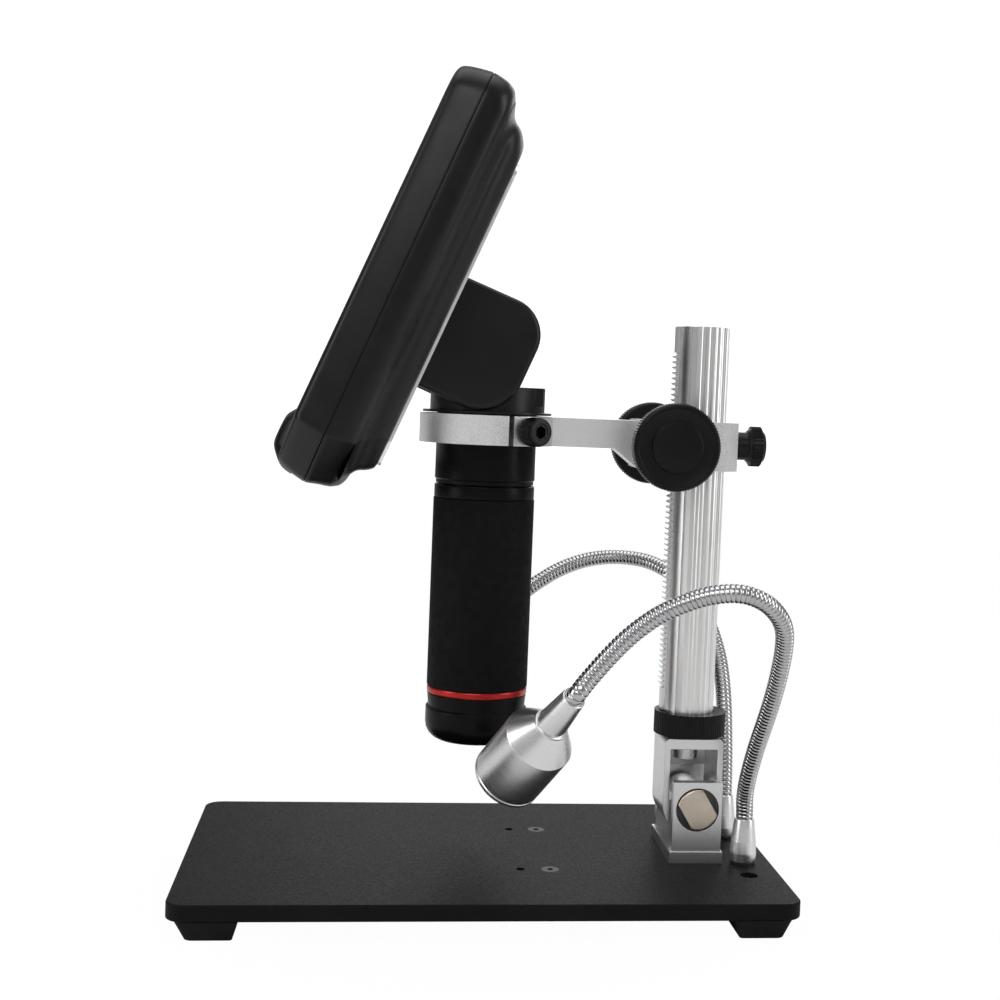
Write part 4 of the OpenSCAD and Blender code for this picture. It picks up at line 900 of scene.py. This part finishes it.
addTurned("upperBarrelTurned", "upper_barrel", [
    (boreR, tubeLow.z, 0), (spigotR, tubeLow.z, 0.2), (spigotR, gapZ + 0.2, 0),
    (tubeR - 0.4, gapZ + 0.2, 0.25), (tubeR - 0.4, gapZ + 1.5, 0.1), (tubeR, gapZ + 1.9, 0.3),
    (tubeR, tubeHigh.z, 0.3), (spigotR, tubeHigh.z, 0), (spigotR, chamberLow, 0), (boreR, chamberLow, 0),
], finish["turnedBlack"])
focusLow = boxMm("focus_barrel")[0].z
addTurned("focusBarrelTurned", "focus_barrel", [
    (guideR, focusLow, 0), (threadR, focusLow, 0), (threadR, ringLow, 0), (coreR, ringLow, 0),
    (coreR, gripHigh, 0), (tubeR, gripHigh + 0.1, 0.35), (tubeR, gapZ - 0.2, 0.35),
    (spigotR + 0.05, gapZ - 0.2, 0), (spigotR + 0.05, tubeLow.z - 1, 0), (guideR, tubeLow.z - 1, 0),
], finish["turnedBlack"])
addTurned("gripSleeveMoulded", "grip_sleeve", [
    (coreR, gripLow, 0), (coreR + 1, gripLow, 0.4), (coreR + 1, gripHigh, 0.4), (coreR, gripHigh, 0),
], finish["grip"])
addTurned("redRingAnodised", "red_ring", [
    (coreR, ringLow, 0), (coreR + 0.75, ringLow, 0.15), (coreR + 0.9, ringLow + 0.45, 0.15),
    (coreR + 0.9, ringHigh - 0.45, 0.15), (coreR + 0.75, ringHigh, 0.15), (coreR, ringHigh, 0),
], finish["red"])
capLow, capHigh = boxMm("end_cap")
capR = (capHigh.x - capLow.x) / 2
capBottom, capTop = capLow.z, capHigh.z
addTurned("endCapTurned", "end_cap", [
    (openR, capBottom, 0.6), (capR, capBottom, 6), (capR, capTop - 5.1, 0.3), (capR - 0.8, capTop - 4.6, 0.3),
    (capR - 0.35, capTop, 0.3), (threadR, capTop, 0), (threadR, capBottom + 3.4, 0),
    (openR, capBottom + 2.4, 0.4),
], finish["turnedBlack"])
dress("lens_carrier", finish["turnedBlack"])
dress("objective_lens", finish["glass"])
dress("sensor_board", finish["board"])
dress("ring_light", finish["board"])
refined("head_collar", "headCollarMoulded", finish["plastic"], bevel=0.5, bevelSteps=3)
print("microscope body")


# display head, in its own frame: x is depth from the front face, z runs up that face and is called u below

headShape = {
    "lean": 22.8, "origin": (-64.7, 162.6), "width": 150, "top": 116.4, "low": -19.4,
    "bezel": 10.8, "shell": 11, "cover": 6.8, "plate": 1, "wall": 2.2,
    "crease": -3, "slant": 16, "coverTop": 107, "coverLow": -9.5, "coverCrease": 2, "coverStep": 10,
    "screenSize": (110.8, 62.4), "screenMiddle": 62, "hinge": (46.2, 37.8),   # depth and u of the hinge
    "buttons": 6, "buttonPitch": 13, "buttonU": -8.8, "buttonRadius": 3, "buttonProud": 0.6, "chinDepth": -3,
}
headPlace = (Matrix.Translation(Vector((headShape["origin"][0], 0, headShape["origin"][1])) * mm)
             @ Matrix.Rotation(math.radians(headShape["lean"]), 4, "Y"))
halfHead = headShape["width"] / 2
depthMain = headShape["bezel"] + headShape["shell"]
depthCover = depthMain + headShape["cover"]


def headRing(depth, outline):
    return [headPlace @ (Vector((depth, y, u)) * mm) for y, u in outline]


def slanted(half, top, low, crease, slant, radii, steps=8):
    # outline whose lower corners are cut off between a crease and the low edge
    # radii are those at the top, at the crease and at the low edge
    corner, creased, lower = radii
    return roundCorners([
        (-half, top, corner), (-half, crease, creased), (-half + slant, low, lower),
        (half - slant, low, lower), (half, crease, creased), (half, top, corner),
    ], steps)


def headOutline(inset, lowInset=None):
    # the crease over the slanted lower corners rises towards the front and the back
    lowInset = inset if lowInset is None else lowInset
    crease = headShape["crease"] + 0.5 * lowInset
    return slanted(halfHead - inset, headShape["top"] - inset, headShape["low"] + lowInset, crease,
                   headShape["slant"], (max(11 - inset / 2, 3), 1.8, 8))


def coverOutline(inset, lowInset):
    crease = headShape["coverCrease"] + 0.6 * lowInset
    return slanted(halfHead - headShape["coverStep"] - inset, headShape["coverTop"] - inset,
                   headShape["coverLow"] + lowInset, crease, 5, (9, 1.8, 4), 10)


def headTool(depth0, depth1, outline):
    bm = bmesh.new()
    loft(bm, [headRing(depth0, outline), headRing(depth1, outline)])
    return bm


def headRod(depth0, depth1, y, u, radius, steps=48):
    bm = bmesh.new()
    place = headPlace @ upright(0, y, u) @ Matrix.Rotation(math.radians(90), 4, "Y")
    lathe(bm, [(0, depth0), (radius, depth0), (radius, depth1), (0, depth1)], place, steps, closed=False)
    return bm


coverScrews = [(y, u) for y in (-halfHead + 22, halfHead - 22)
               for u in (headShape["coverLow"] + 10, headShape["coverTop"] - 16)]
middleButton = (headShape["buttons"] - 1) / 2
buttonYs = [(i - middleButton) * headShape["buttonPitch"] for i in range(headShape["buttons"])]
socketOpenings = [(13.4, 18.0, 60, 69.4), (13.5, 16.1, 36, 49.6)]   # front, back, low, high

bezelSide = [
    # depth and inset of the bezel's rounded side, from the front face to the seam
    (0, 6.3), (0.12, 4.7), (0.6, 3.2), (1.8, 2.0), (5, 1.0), (9.8, 0.12), (10.45, 0.1), (10.78, 0.45),
]
shellSide = [
    # depth, inset at the top and the sides, inset at the bottom
    (10.8, 0.45, 0.45), (11.15, 0.05, 0.05), (15, 0.45, 1.1), (17, 1.1, 1.5), (18.6, 2.1, 1.9),
    (19.8, 4.0, 2.5), (20.8, 6.4, 3.1), (21.5, 9.0, 4.0), (22.1, 12.0, 5.4), (22.5, 15.0, 7.4),
]
coverSide = [
    # the same three values; the first stretch is the valley that runs out of the shell
    (20.2, -5.2, -5.0), (20.8, -3.7, -4.0), (21.4, -2.3, -3.2), (22.2, -1.1, -2.2), (23.2, -0.3, -0.6),
    (24.4, 0.3, 0.4), (25.8, 1.3, 1.0), (27.2, 2.9, 1.8), (28.2, 4.5, 2.7), (28.6, 6.2, 3.9),
]
glassSeat = (8, 9, 1.3)   # recess for the glass: past the screen at the sides, above and below, and its depth
chinSteps = [
    # depth, half width at the top and at the bottom, low edge, high edge
    (6, 58, 58, -19.0, 4.2), (3.2, 57.8, 57.6, -18.4, 3.2), (1, 57, 56, -17.2, 2), (-1.4, 55, 54, -14.8, -1),
    (-2.6, 53, 52, -13.2, -2.8), (-3, 51, 50, -12.2, -4.2),
]


def addFrontBezel():
    wall = headShape["wall"]
    body = bmesh.new()
    loft(body, [headRing(depth, headOutline(inset)) for depth, inset in fairLine(bezelSide, 3)])
    chin = bmesh.new()
    loft(chin, [
        headRing(depth, roundCorners([
            (-high, top, 4), (-low, bottom, 4), (low, bottom, 4), (high, top, 4),
        ], 8))
        for depth, high, low, bottom, top in fairLine(chinSteps, 3)])
    body = carve(body, [chin], "UNION")
    halfW, halfH = (size / 2 for size in headShape["screenSize"])
    middle, (sideRim, endRim, glass) = headShape["screenMiddle"], glassSeat
    room = headTool(wall, headShape["bezel"] + 1, headOutline(wall + 2))
    window = block((-1, -halfW, middle - halfH), (wall + 1, halfW, middle + halfH), headPlace)
    seat = block((-1, -halfW - sideRim, middle - halfH - endRim),
                 (glass, halfW + sideRim, middle + halfH + endRim), headPlace)
    holes = [headRod(-8, 8, y, headShape["buttonU"], headShape["buttonRadius"] + 0.15) for y in buttonYs]
    body = carve(body, [room, window, seat] + holes)
    finishPiece("frontBezelMoulded", body, ["front_bezel"], finish["plastic"], smooth=40)


def addRearShell():
    wall = headShape["wall"]
    body = bmesh.new()
    loft(body, [headRing(depth, headOutline(inset, low)) for depth, inset, low in fairLine(shellSide, 3)])
    cover = bmesh.new()
    loft(cover, [headRing(depth, coverOutline(inset, low)) for depth, inset, low in fairLine(coverSide, 3)])
    body = carve(body, [cover], "UNION")
    tools = [
        headTool(headShape["bezel"] - 1, depthMain - wall - 2.4, headOutline(wall + 2)),
        headTool(headShape["bezel"] - 0.9, depthMain - wall, headOutline(8)),
        headTool(depthMain - wall - 1, depthCover - wall, coverOutline(8, 6)),
    ]
    tools += [block((front, halfHead - 8, low), (back, halfHead + 4, high), headPlace)
              for front, back, low, high in socketOpenings]
    tools += [headRod(depthCover - 4, depthCover + 4, y, u, 1.5, 24) for y, u in coverScrews]
    finishPiece("rearShellMoulded", carve(body, tools), ["rear_shell"], finish["plastic"], smooth=40)


addFrontBezel()
addRearShell()
rearPlate = {
    "halfWidth": 58, "low": -5.6, "top": 97, "crease": 2.5, "slant": 4.5, "screwRadius": 2.6,
    "vents": 5, "ventStart": 30.8, "ventPitch": 4, "ventWidth": 1.6, "ventLow": 68, "ventHeight": 18,
    "passHalf": 8, "passLow": 2.2, "passHigh": 12.2,   # opening inside the neck, above the hinge
}


def addRearPlate(shape):
    outline = slanted(shape["halfWidth"], shape["top"], shape["low"], shape["crease"], shape["slant"],
                      (6, 2, 3))
    hingeU = headShape["hinge"][1]
    start, end = depthCover - 1, depthCover + 4
    tools = [headRod(start, end, y, u, shape["screwRadius"], 32) for y, u in coverScrews]
    half, low, high = shape["ventWidth"] / 2, shape["ventLow"], shape["ventLow"] + shape["ventHeight"]
    for side in (-1, 1):
        for i in range(shape["vents"]):
            y = side * (shape["ventStart"] + shape["ventPitch"] * i)
            tools.append(block((start, y - half, low), (end, y + half, high), headPlace))
    tools.append(block((start, -shape["passHalf"], hingeU + shape["passLow"]),
                       (end, shape["passHalf"], hingeU + shape["passHigh"]), headPlace))
    body = carve(headTool(depthCover, depthCover + headShape["plate"], outline), tools)
    finishPiece("rearPlateBrushed", body, ["rear_plate"], finish["plate"], bevel=0.2)


addRearPlate(rearPlate)
refined("shell_screws", "shellScrewHeads", finish["anodised"], bevel=0.15)
refined("display_glass", "displayGlassPolished", finish["screen"], bevel=0.15)
dress("display_panel", finish["module"])
dress("main_board", finish["board"])
refined("side_sockets", "sideSocketShells", finish["steel"], bevel=0.12)


def addButton(index, y):
    place = headPlace @ upright(0, y, headShape["buttonU"]) @ Matrix.Rotation(math.radians(90), 4, "Y")
    radius = headShape["buttonRadius"]
    face = headShape["chinDepth"] - headShape["buttonProud"]
    seat = headShape["wall"] + 0.1
    outline = roundCorners([
        (0, face + 0.25, 0), (radius - 1.1, face + 0.2, 0.8), (radius - 0.5, face, 0.3),
        (radius, face, 0.4), (radius, seat, 0), (radius + 0.9, seat, 0.1), (radius + 0.9, seat + 1, 0.1),
        (0, seat + 1, 0),
    ], 4)
    bm = bmesh.new()
    lathe(bm, outline, place, 48, closed=False)
    finishPiece("buttonCap%d" % index, bm, ["button_%d" % index], finish["module"])


for index, y in enumerate(buttonYs, 1):
    addButton(index, y)

neckShape = {
    # below and above are measured from the hinge; mouth and lugRoom are depth and height of the two openings
    "width": 45, "wall": 2.4, "edge": 2.2, "backCorner": 12.5, "lowCorner": 15, "below": 15.5, "above": 24.8,
    "mouth": (39, 8.4), "lugRoom": (20, 9), "boss": 6, "lug": 18,
}


def addNeck(shape):
    hingeV, hingeU = headShape["hinge"]
    start = depthCover + headShape["plate"]
    low, high, back = hingeU - shape["below"], hingeU + shape["above"], hingeV + shape["lowCorner"]

    def sideView(inset):
        return roundCorners([
            (start, low + inset, 0), (back - inset, low + inset, shape["lowCorner"] - inset),
            (back - inset, high - inset, shape["backCorner"] - inset), (start, high - 0.9 - inset, 0),
        ], 16)

    def ring(y, inset):
        return [headPlace @ (Vector((v, y, u)) * mm) for v, u in sideView(inset)]

    half, edge = shape["width"] / 2, shape["edge"]
    arc = [math.radians(90 * k / 6) for k in range(7)]
    rounding = [(half - edge + edge * math.sin(a), edge * (1 - math.cos(a))) for a in arc]
    body = bmesh.new()
    loft(body, [ring(y, inset) for y, inset in [(-y, inset) for y, inset in reversed(rounding)] + rounding])
    inner = half - shape["wall"]
    room = bmesh.new()
    loft(room, [ring(-inner, shape["wall"]), ring(inner, shape["wall"])])
    mouthV, mouthU = shape["mouth"]
    lugV, lugU = shape["lugRoom"]
    mouth = block((start - 1, -inner, low - 1), (start + mouthV, inner, low + mouthU), headPlace)
    lugRoom = block((hingeV, -inner, low - 1), (hingeV + lugV, inner, hingeU + lugU), headPlace)
    body = carve(body, [room, mouth, lugRoom])
    place = headPlace @ upright(hingeV, 0, hingeU) @ Matrix.Rotation(math.radians(90), 4, "X")
    bosses = []
    for side in (-1, 1):
        boss = bmesh.new()
        ends = sorted((side * (shape["lug"] / 2 + 0.3), side * (inner + 0.2)))
        outline = [(0, ends[0]), (shape["boss"], ends[0]), (shape["boss"], ends[1]), (0, ends[1])]
        lathe(boss, outline, place, 48, closed=False)
        bosses.append(boss)
    body = carve(body, bosses, "UNION")
    finishPiece("neckHousingMoulded", body, ["neck_housing"], finish["plastic"], smooth=40)


addNeck(neckShape)
dress("hinge_pin", finish["steel"])
print("display head")


# lamps

lampShape = {
    "socketX": 90, "socketY": 16, "socketHeight": 15.7, "socketDepth": 6.7, "spigot": 5.4, "boreRadius": 1.5,
    "neckRadius": 2.95, "pitch": 1.5, "groove": 0.27, "bandPoints": 10,
    "sleeveDepth": 7, "sleeveLength": 14.6, "cone": 8.6, "lip": 5.75, "radius": 11.6, "length": 31.2,
}
# start is where the sleeve begins and aim is where the lamp points
# start and the route are measured from the socket's foot
frontLamp = {
    "side": -1, "start": (-68.2, -51.7, 66.9), "aim": (-0.372, 0.621, -0.69),
    "route": [
        (0, 0, 10), (0, 0, 17), (-0.7, -2.2, 24), (-1.2, -7.5, 32), (-1, -15, 43), (-0.5, -23, 53.5),
        (-0.2, -31, 64), (-0.5, -38.5, 73.5), (-1.4, -45.5, 82), (-3.2, -51.5, 89), (-6.8, -56, 94.5),
        (-12, -58.6, 98.7), (-19, -59.6, 101), (-27, -58.8, 100.5), (-35, -57.2, 97.9),
        (-43.5, -55.3, 93.5), (-51.5, -53.6, 87), (-58, -52.6, 80), (-64, -52, 72.6),
    ],
}
rearLamp = {
    "side": 1, "start": (-83.3, 50.3, 73.5), "aim": (-0.16, -0.64, -0.74),
    "route": [
        (0, 0, 10), (0, 0, 17), (0.3, 1.9, 25), (0.5, 5.1, 36.6), (0.7, 9.3, 47.1), (0.6, 14.4, 56.7),
        (-0.3, 20.5, 65.7), (-3.1, 27.9, 75.8), (-7.6, 35.9, 83.8), (-13.7, 44.7, 90.9),
        (-21.2, 52.2, 94.7), (-28.7, 56.8, 95.9), (-36.7, 59.4, 95.8), (-45.1, 59.6, 94.6),
        (-52.6, 58.7, 92.3), (-59, 57.1, 89.5), (-65.4, 55.1, 85.7), (-72.4, 53.1, 81.1),
    ],
}


def bandTree():
    # a tube along a path whose radius dips between its bands
    tree, sockets, source = newTree("bandedGooseneck", {
        "Pitch": "Float", "Radius": "Float", "Groove": "Float", "Points A Band": "Int",
        "Finish": "Material",
    })
    nodes, links = tree.nodes, tree.links

    def compute(operation, a, b=0):
        node = nodes.new("ShaderNodeMath")
        node.operation = operation
        for socket, value in zip(node.inputs, (a, b)):
            if isinstance(value, (int, float)):
                socket.default_value = value
            else:
                links.new(value, socket)
        return node.outputs[0]

    path = nodes.new("GeometryNodeMeshToCurve")
    length = nodes.new("GeometryNodeCurveLength")
    links.new(source.outputs["Geometry"], path.inputs[0])
    links.new(path.outputs[0], length.inputs[0])
    bands = compute("ROUND", compute("DIVIDE", length.outputs[0], source.outputs["Pitch"]))
    points = compute("ADD", compute("MULTIPLY", bands, source.outputs["Points A Band"]), 1)
    fine = nodes.new("GeometryNodeResampleCurve")
    links.new(path.outputs[0], fine.inputs["Curve"])
    links.new(points, fine.inputs["Count"])
    number = nodes.new("GeometryNodeInputIndex").outputs[0]
    index = compute("ADD", number, 0.01)   # a whole number of bands must not come out just under it
    part = compute("FRACT", compute("DIVIDE", index, source.outputs["Points A Band"]))
    edge = compute("MULTIPLY", compute("ABSOLUTE", compute("SUBTRACT", part, 0.5)), 2)
    dip = compute("MULTIPLY", compute("POWER", edge, 4), source.outputs["Groove"])
    reach = compute("SUBTRACT", source.outputs["Radius"], dip)
    keep = nodes.new("GeometryNodeSetCurveRadius")
    links.new(fine.outputs[0], keep.inputs["Curve"])
    links.new(reach, keep.inputs["Radius"])
    ring = nodes.new("GeometryNodeCurvePrimitiveCircle")
    ring.inputs["Resolution"].default_value = 32
    ring.inputs["Radius"].default_value = 1
    tube = nodes.new("GeometryNodeCurveToMesh")
    tube.inputs["Fill Caps"].default_value = True
    links.new(keep.outputs[0], tube.inputs["Curve"])
    links.new(ring.outputs[0], tube.inputs["Profile Curve"])
    radius = nodes.new("GeometryNodeInputRadius")
    links.new(radius.outputs[0], tube.inputs["Scale"])
    endTree(tree, source, tube)
    return tree, sockets


neckTree, neckSockets = bandTree()


def addLamp(lamp, which, shape):
    foot = Vector((shape["socketX"], lamp["side"] * shape["socketY"], plateTop))
    start = foot + Vector(lamp["start"])
    aim = Vector(lamp["aim"]).normalized()
    route = [foot + Vector(point) for point in lamp["route"]]
    route += [start - 2 * aim, start + (shape["sleeveDepth"] - 1) * aim]
    line = [Vector(point) * mm for point in fairLine([tuple(point) for point in route], 8)]
    pathMesh = bpy.data.meshes.new("neckPath")
    pathMesh.from_pydata(line, [(i, i + 1) for i in range(len(line) - 1)], [])
    host = bpy.data.objects.new("neckPath", pathMesh)
    scene.collection.objects.link(host)
    values = {"Pitch": shape["pitch"] * mm, "Radius": shape["neckRadius"] * mm,
              "Groove": shape["groove"] * mm, "Points A Band": shape["bandPoints"], "Finish": finish["wound"]}
    bm = bmesh.new()
    bm.from_mesh(grown(neckTree, host, values, neckSockets))
    finishPiece(which + "GooseneckWound", bm, [which + "_gooseneck"], finish["wound"], smooth=60)

    neck, bore, spigot = shape["neckRadius"], shape["boreRadius"], shape["spigot"]
    high, floor = shape["socketHeight"], shape["socketHeight"] - shape["socketDepth"]
    bm = bmesh.new()
    lathe(bm, roundCorners([
        (bore, -spigot, 0), (2.9, -spigot, 0), (2.9, 0, 0), (4.1, 0, 0.15), (4.5, 1.2, 0.5), (4.6, 4, 1.5),
        (4.3, 8, 1.5), (3.8, 12, 1.5), (3.35, high, 0.25), (neck, high, 0), (neck, floor, 0),
        (bore, floor, 0),
    ], 4), upright(*foot), 72)
    finishPiece(which + "LampSocketTurned", bm, [which + "_lamp_socket"], finish["turned"])

    place = pointing(*start, aim)
    sleeve = shape["sleeveLength"]
    bm = bmesh.new()
    lathe(bm, roundCorners([
        (neck, 0, 0), (3.8, 0, 0.3), (5.1, sleeve, 0), (bore, sleeve, 0), (bore, shape["sleeveDepth"], 0),
        (neck, shape["sleeveDepth"], 0),
    ], 4), place, 72)
    finishPiece(which + "LampSleeveTurned", bm, [which + "_lamp_sleeve"], finish["turned"])

    radius, length, cone, lip = shape["radius"], shape["length"], shape["cone"], shape["lip"]
    seat, cavity = length - 6, cone + 1
    bm = bmesh.new()
    lathe(bm, roundCorners([
        (bore, 0, 0), (lip, 0, 0.3), (lip, 0.75, 0), (radius, cone, 0.35), (radius, length - 1.9, 0.1),
        (radius - 0.25, length - 1.7, 0), (radius - 0.25, length - 1.5, 0), (radius, length - 1.3, 0.1),
        (radius, length, 0.3), (radius - 1.4, length, 0.2), (radius - 1.4, seat, 0), (radius - 2, seat, 0),
        (radius - 2, cavity, 0.8), (bore, cavity, 0),
    ], 5), place @ upright(0, 0, sleeve), 128)
    finishPiece(which + "LampHousingTurned", bm, [which + "_lamp_housing"], finish["turned"])
    dress(which + "_lamp_board", finish["led"])
    dress(which + "_lamp_lens", finish["glass"])


addLamp(frontLamp, "front", lampShape)
addLamp(rearLamp, "rear", lampShape)
print("lamps")
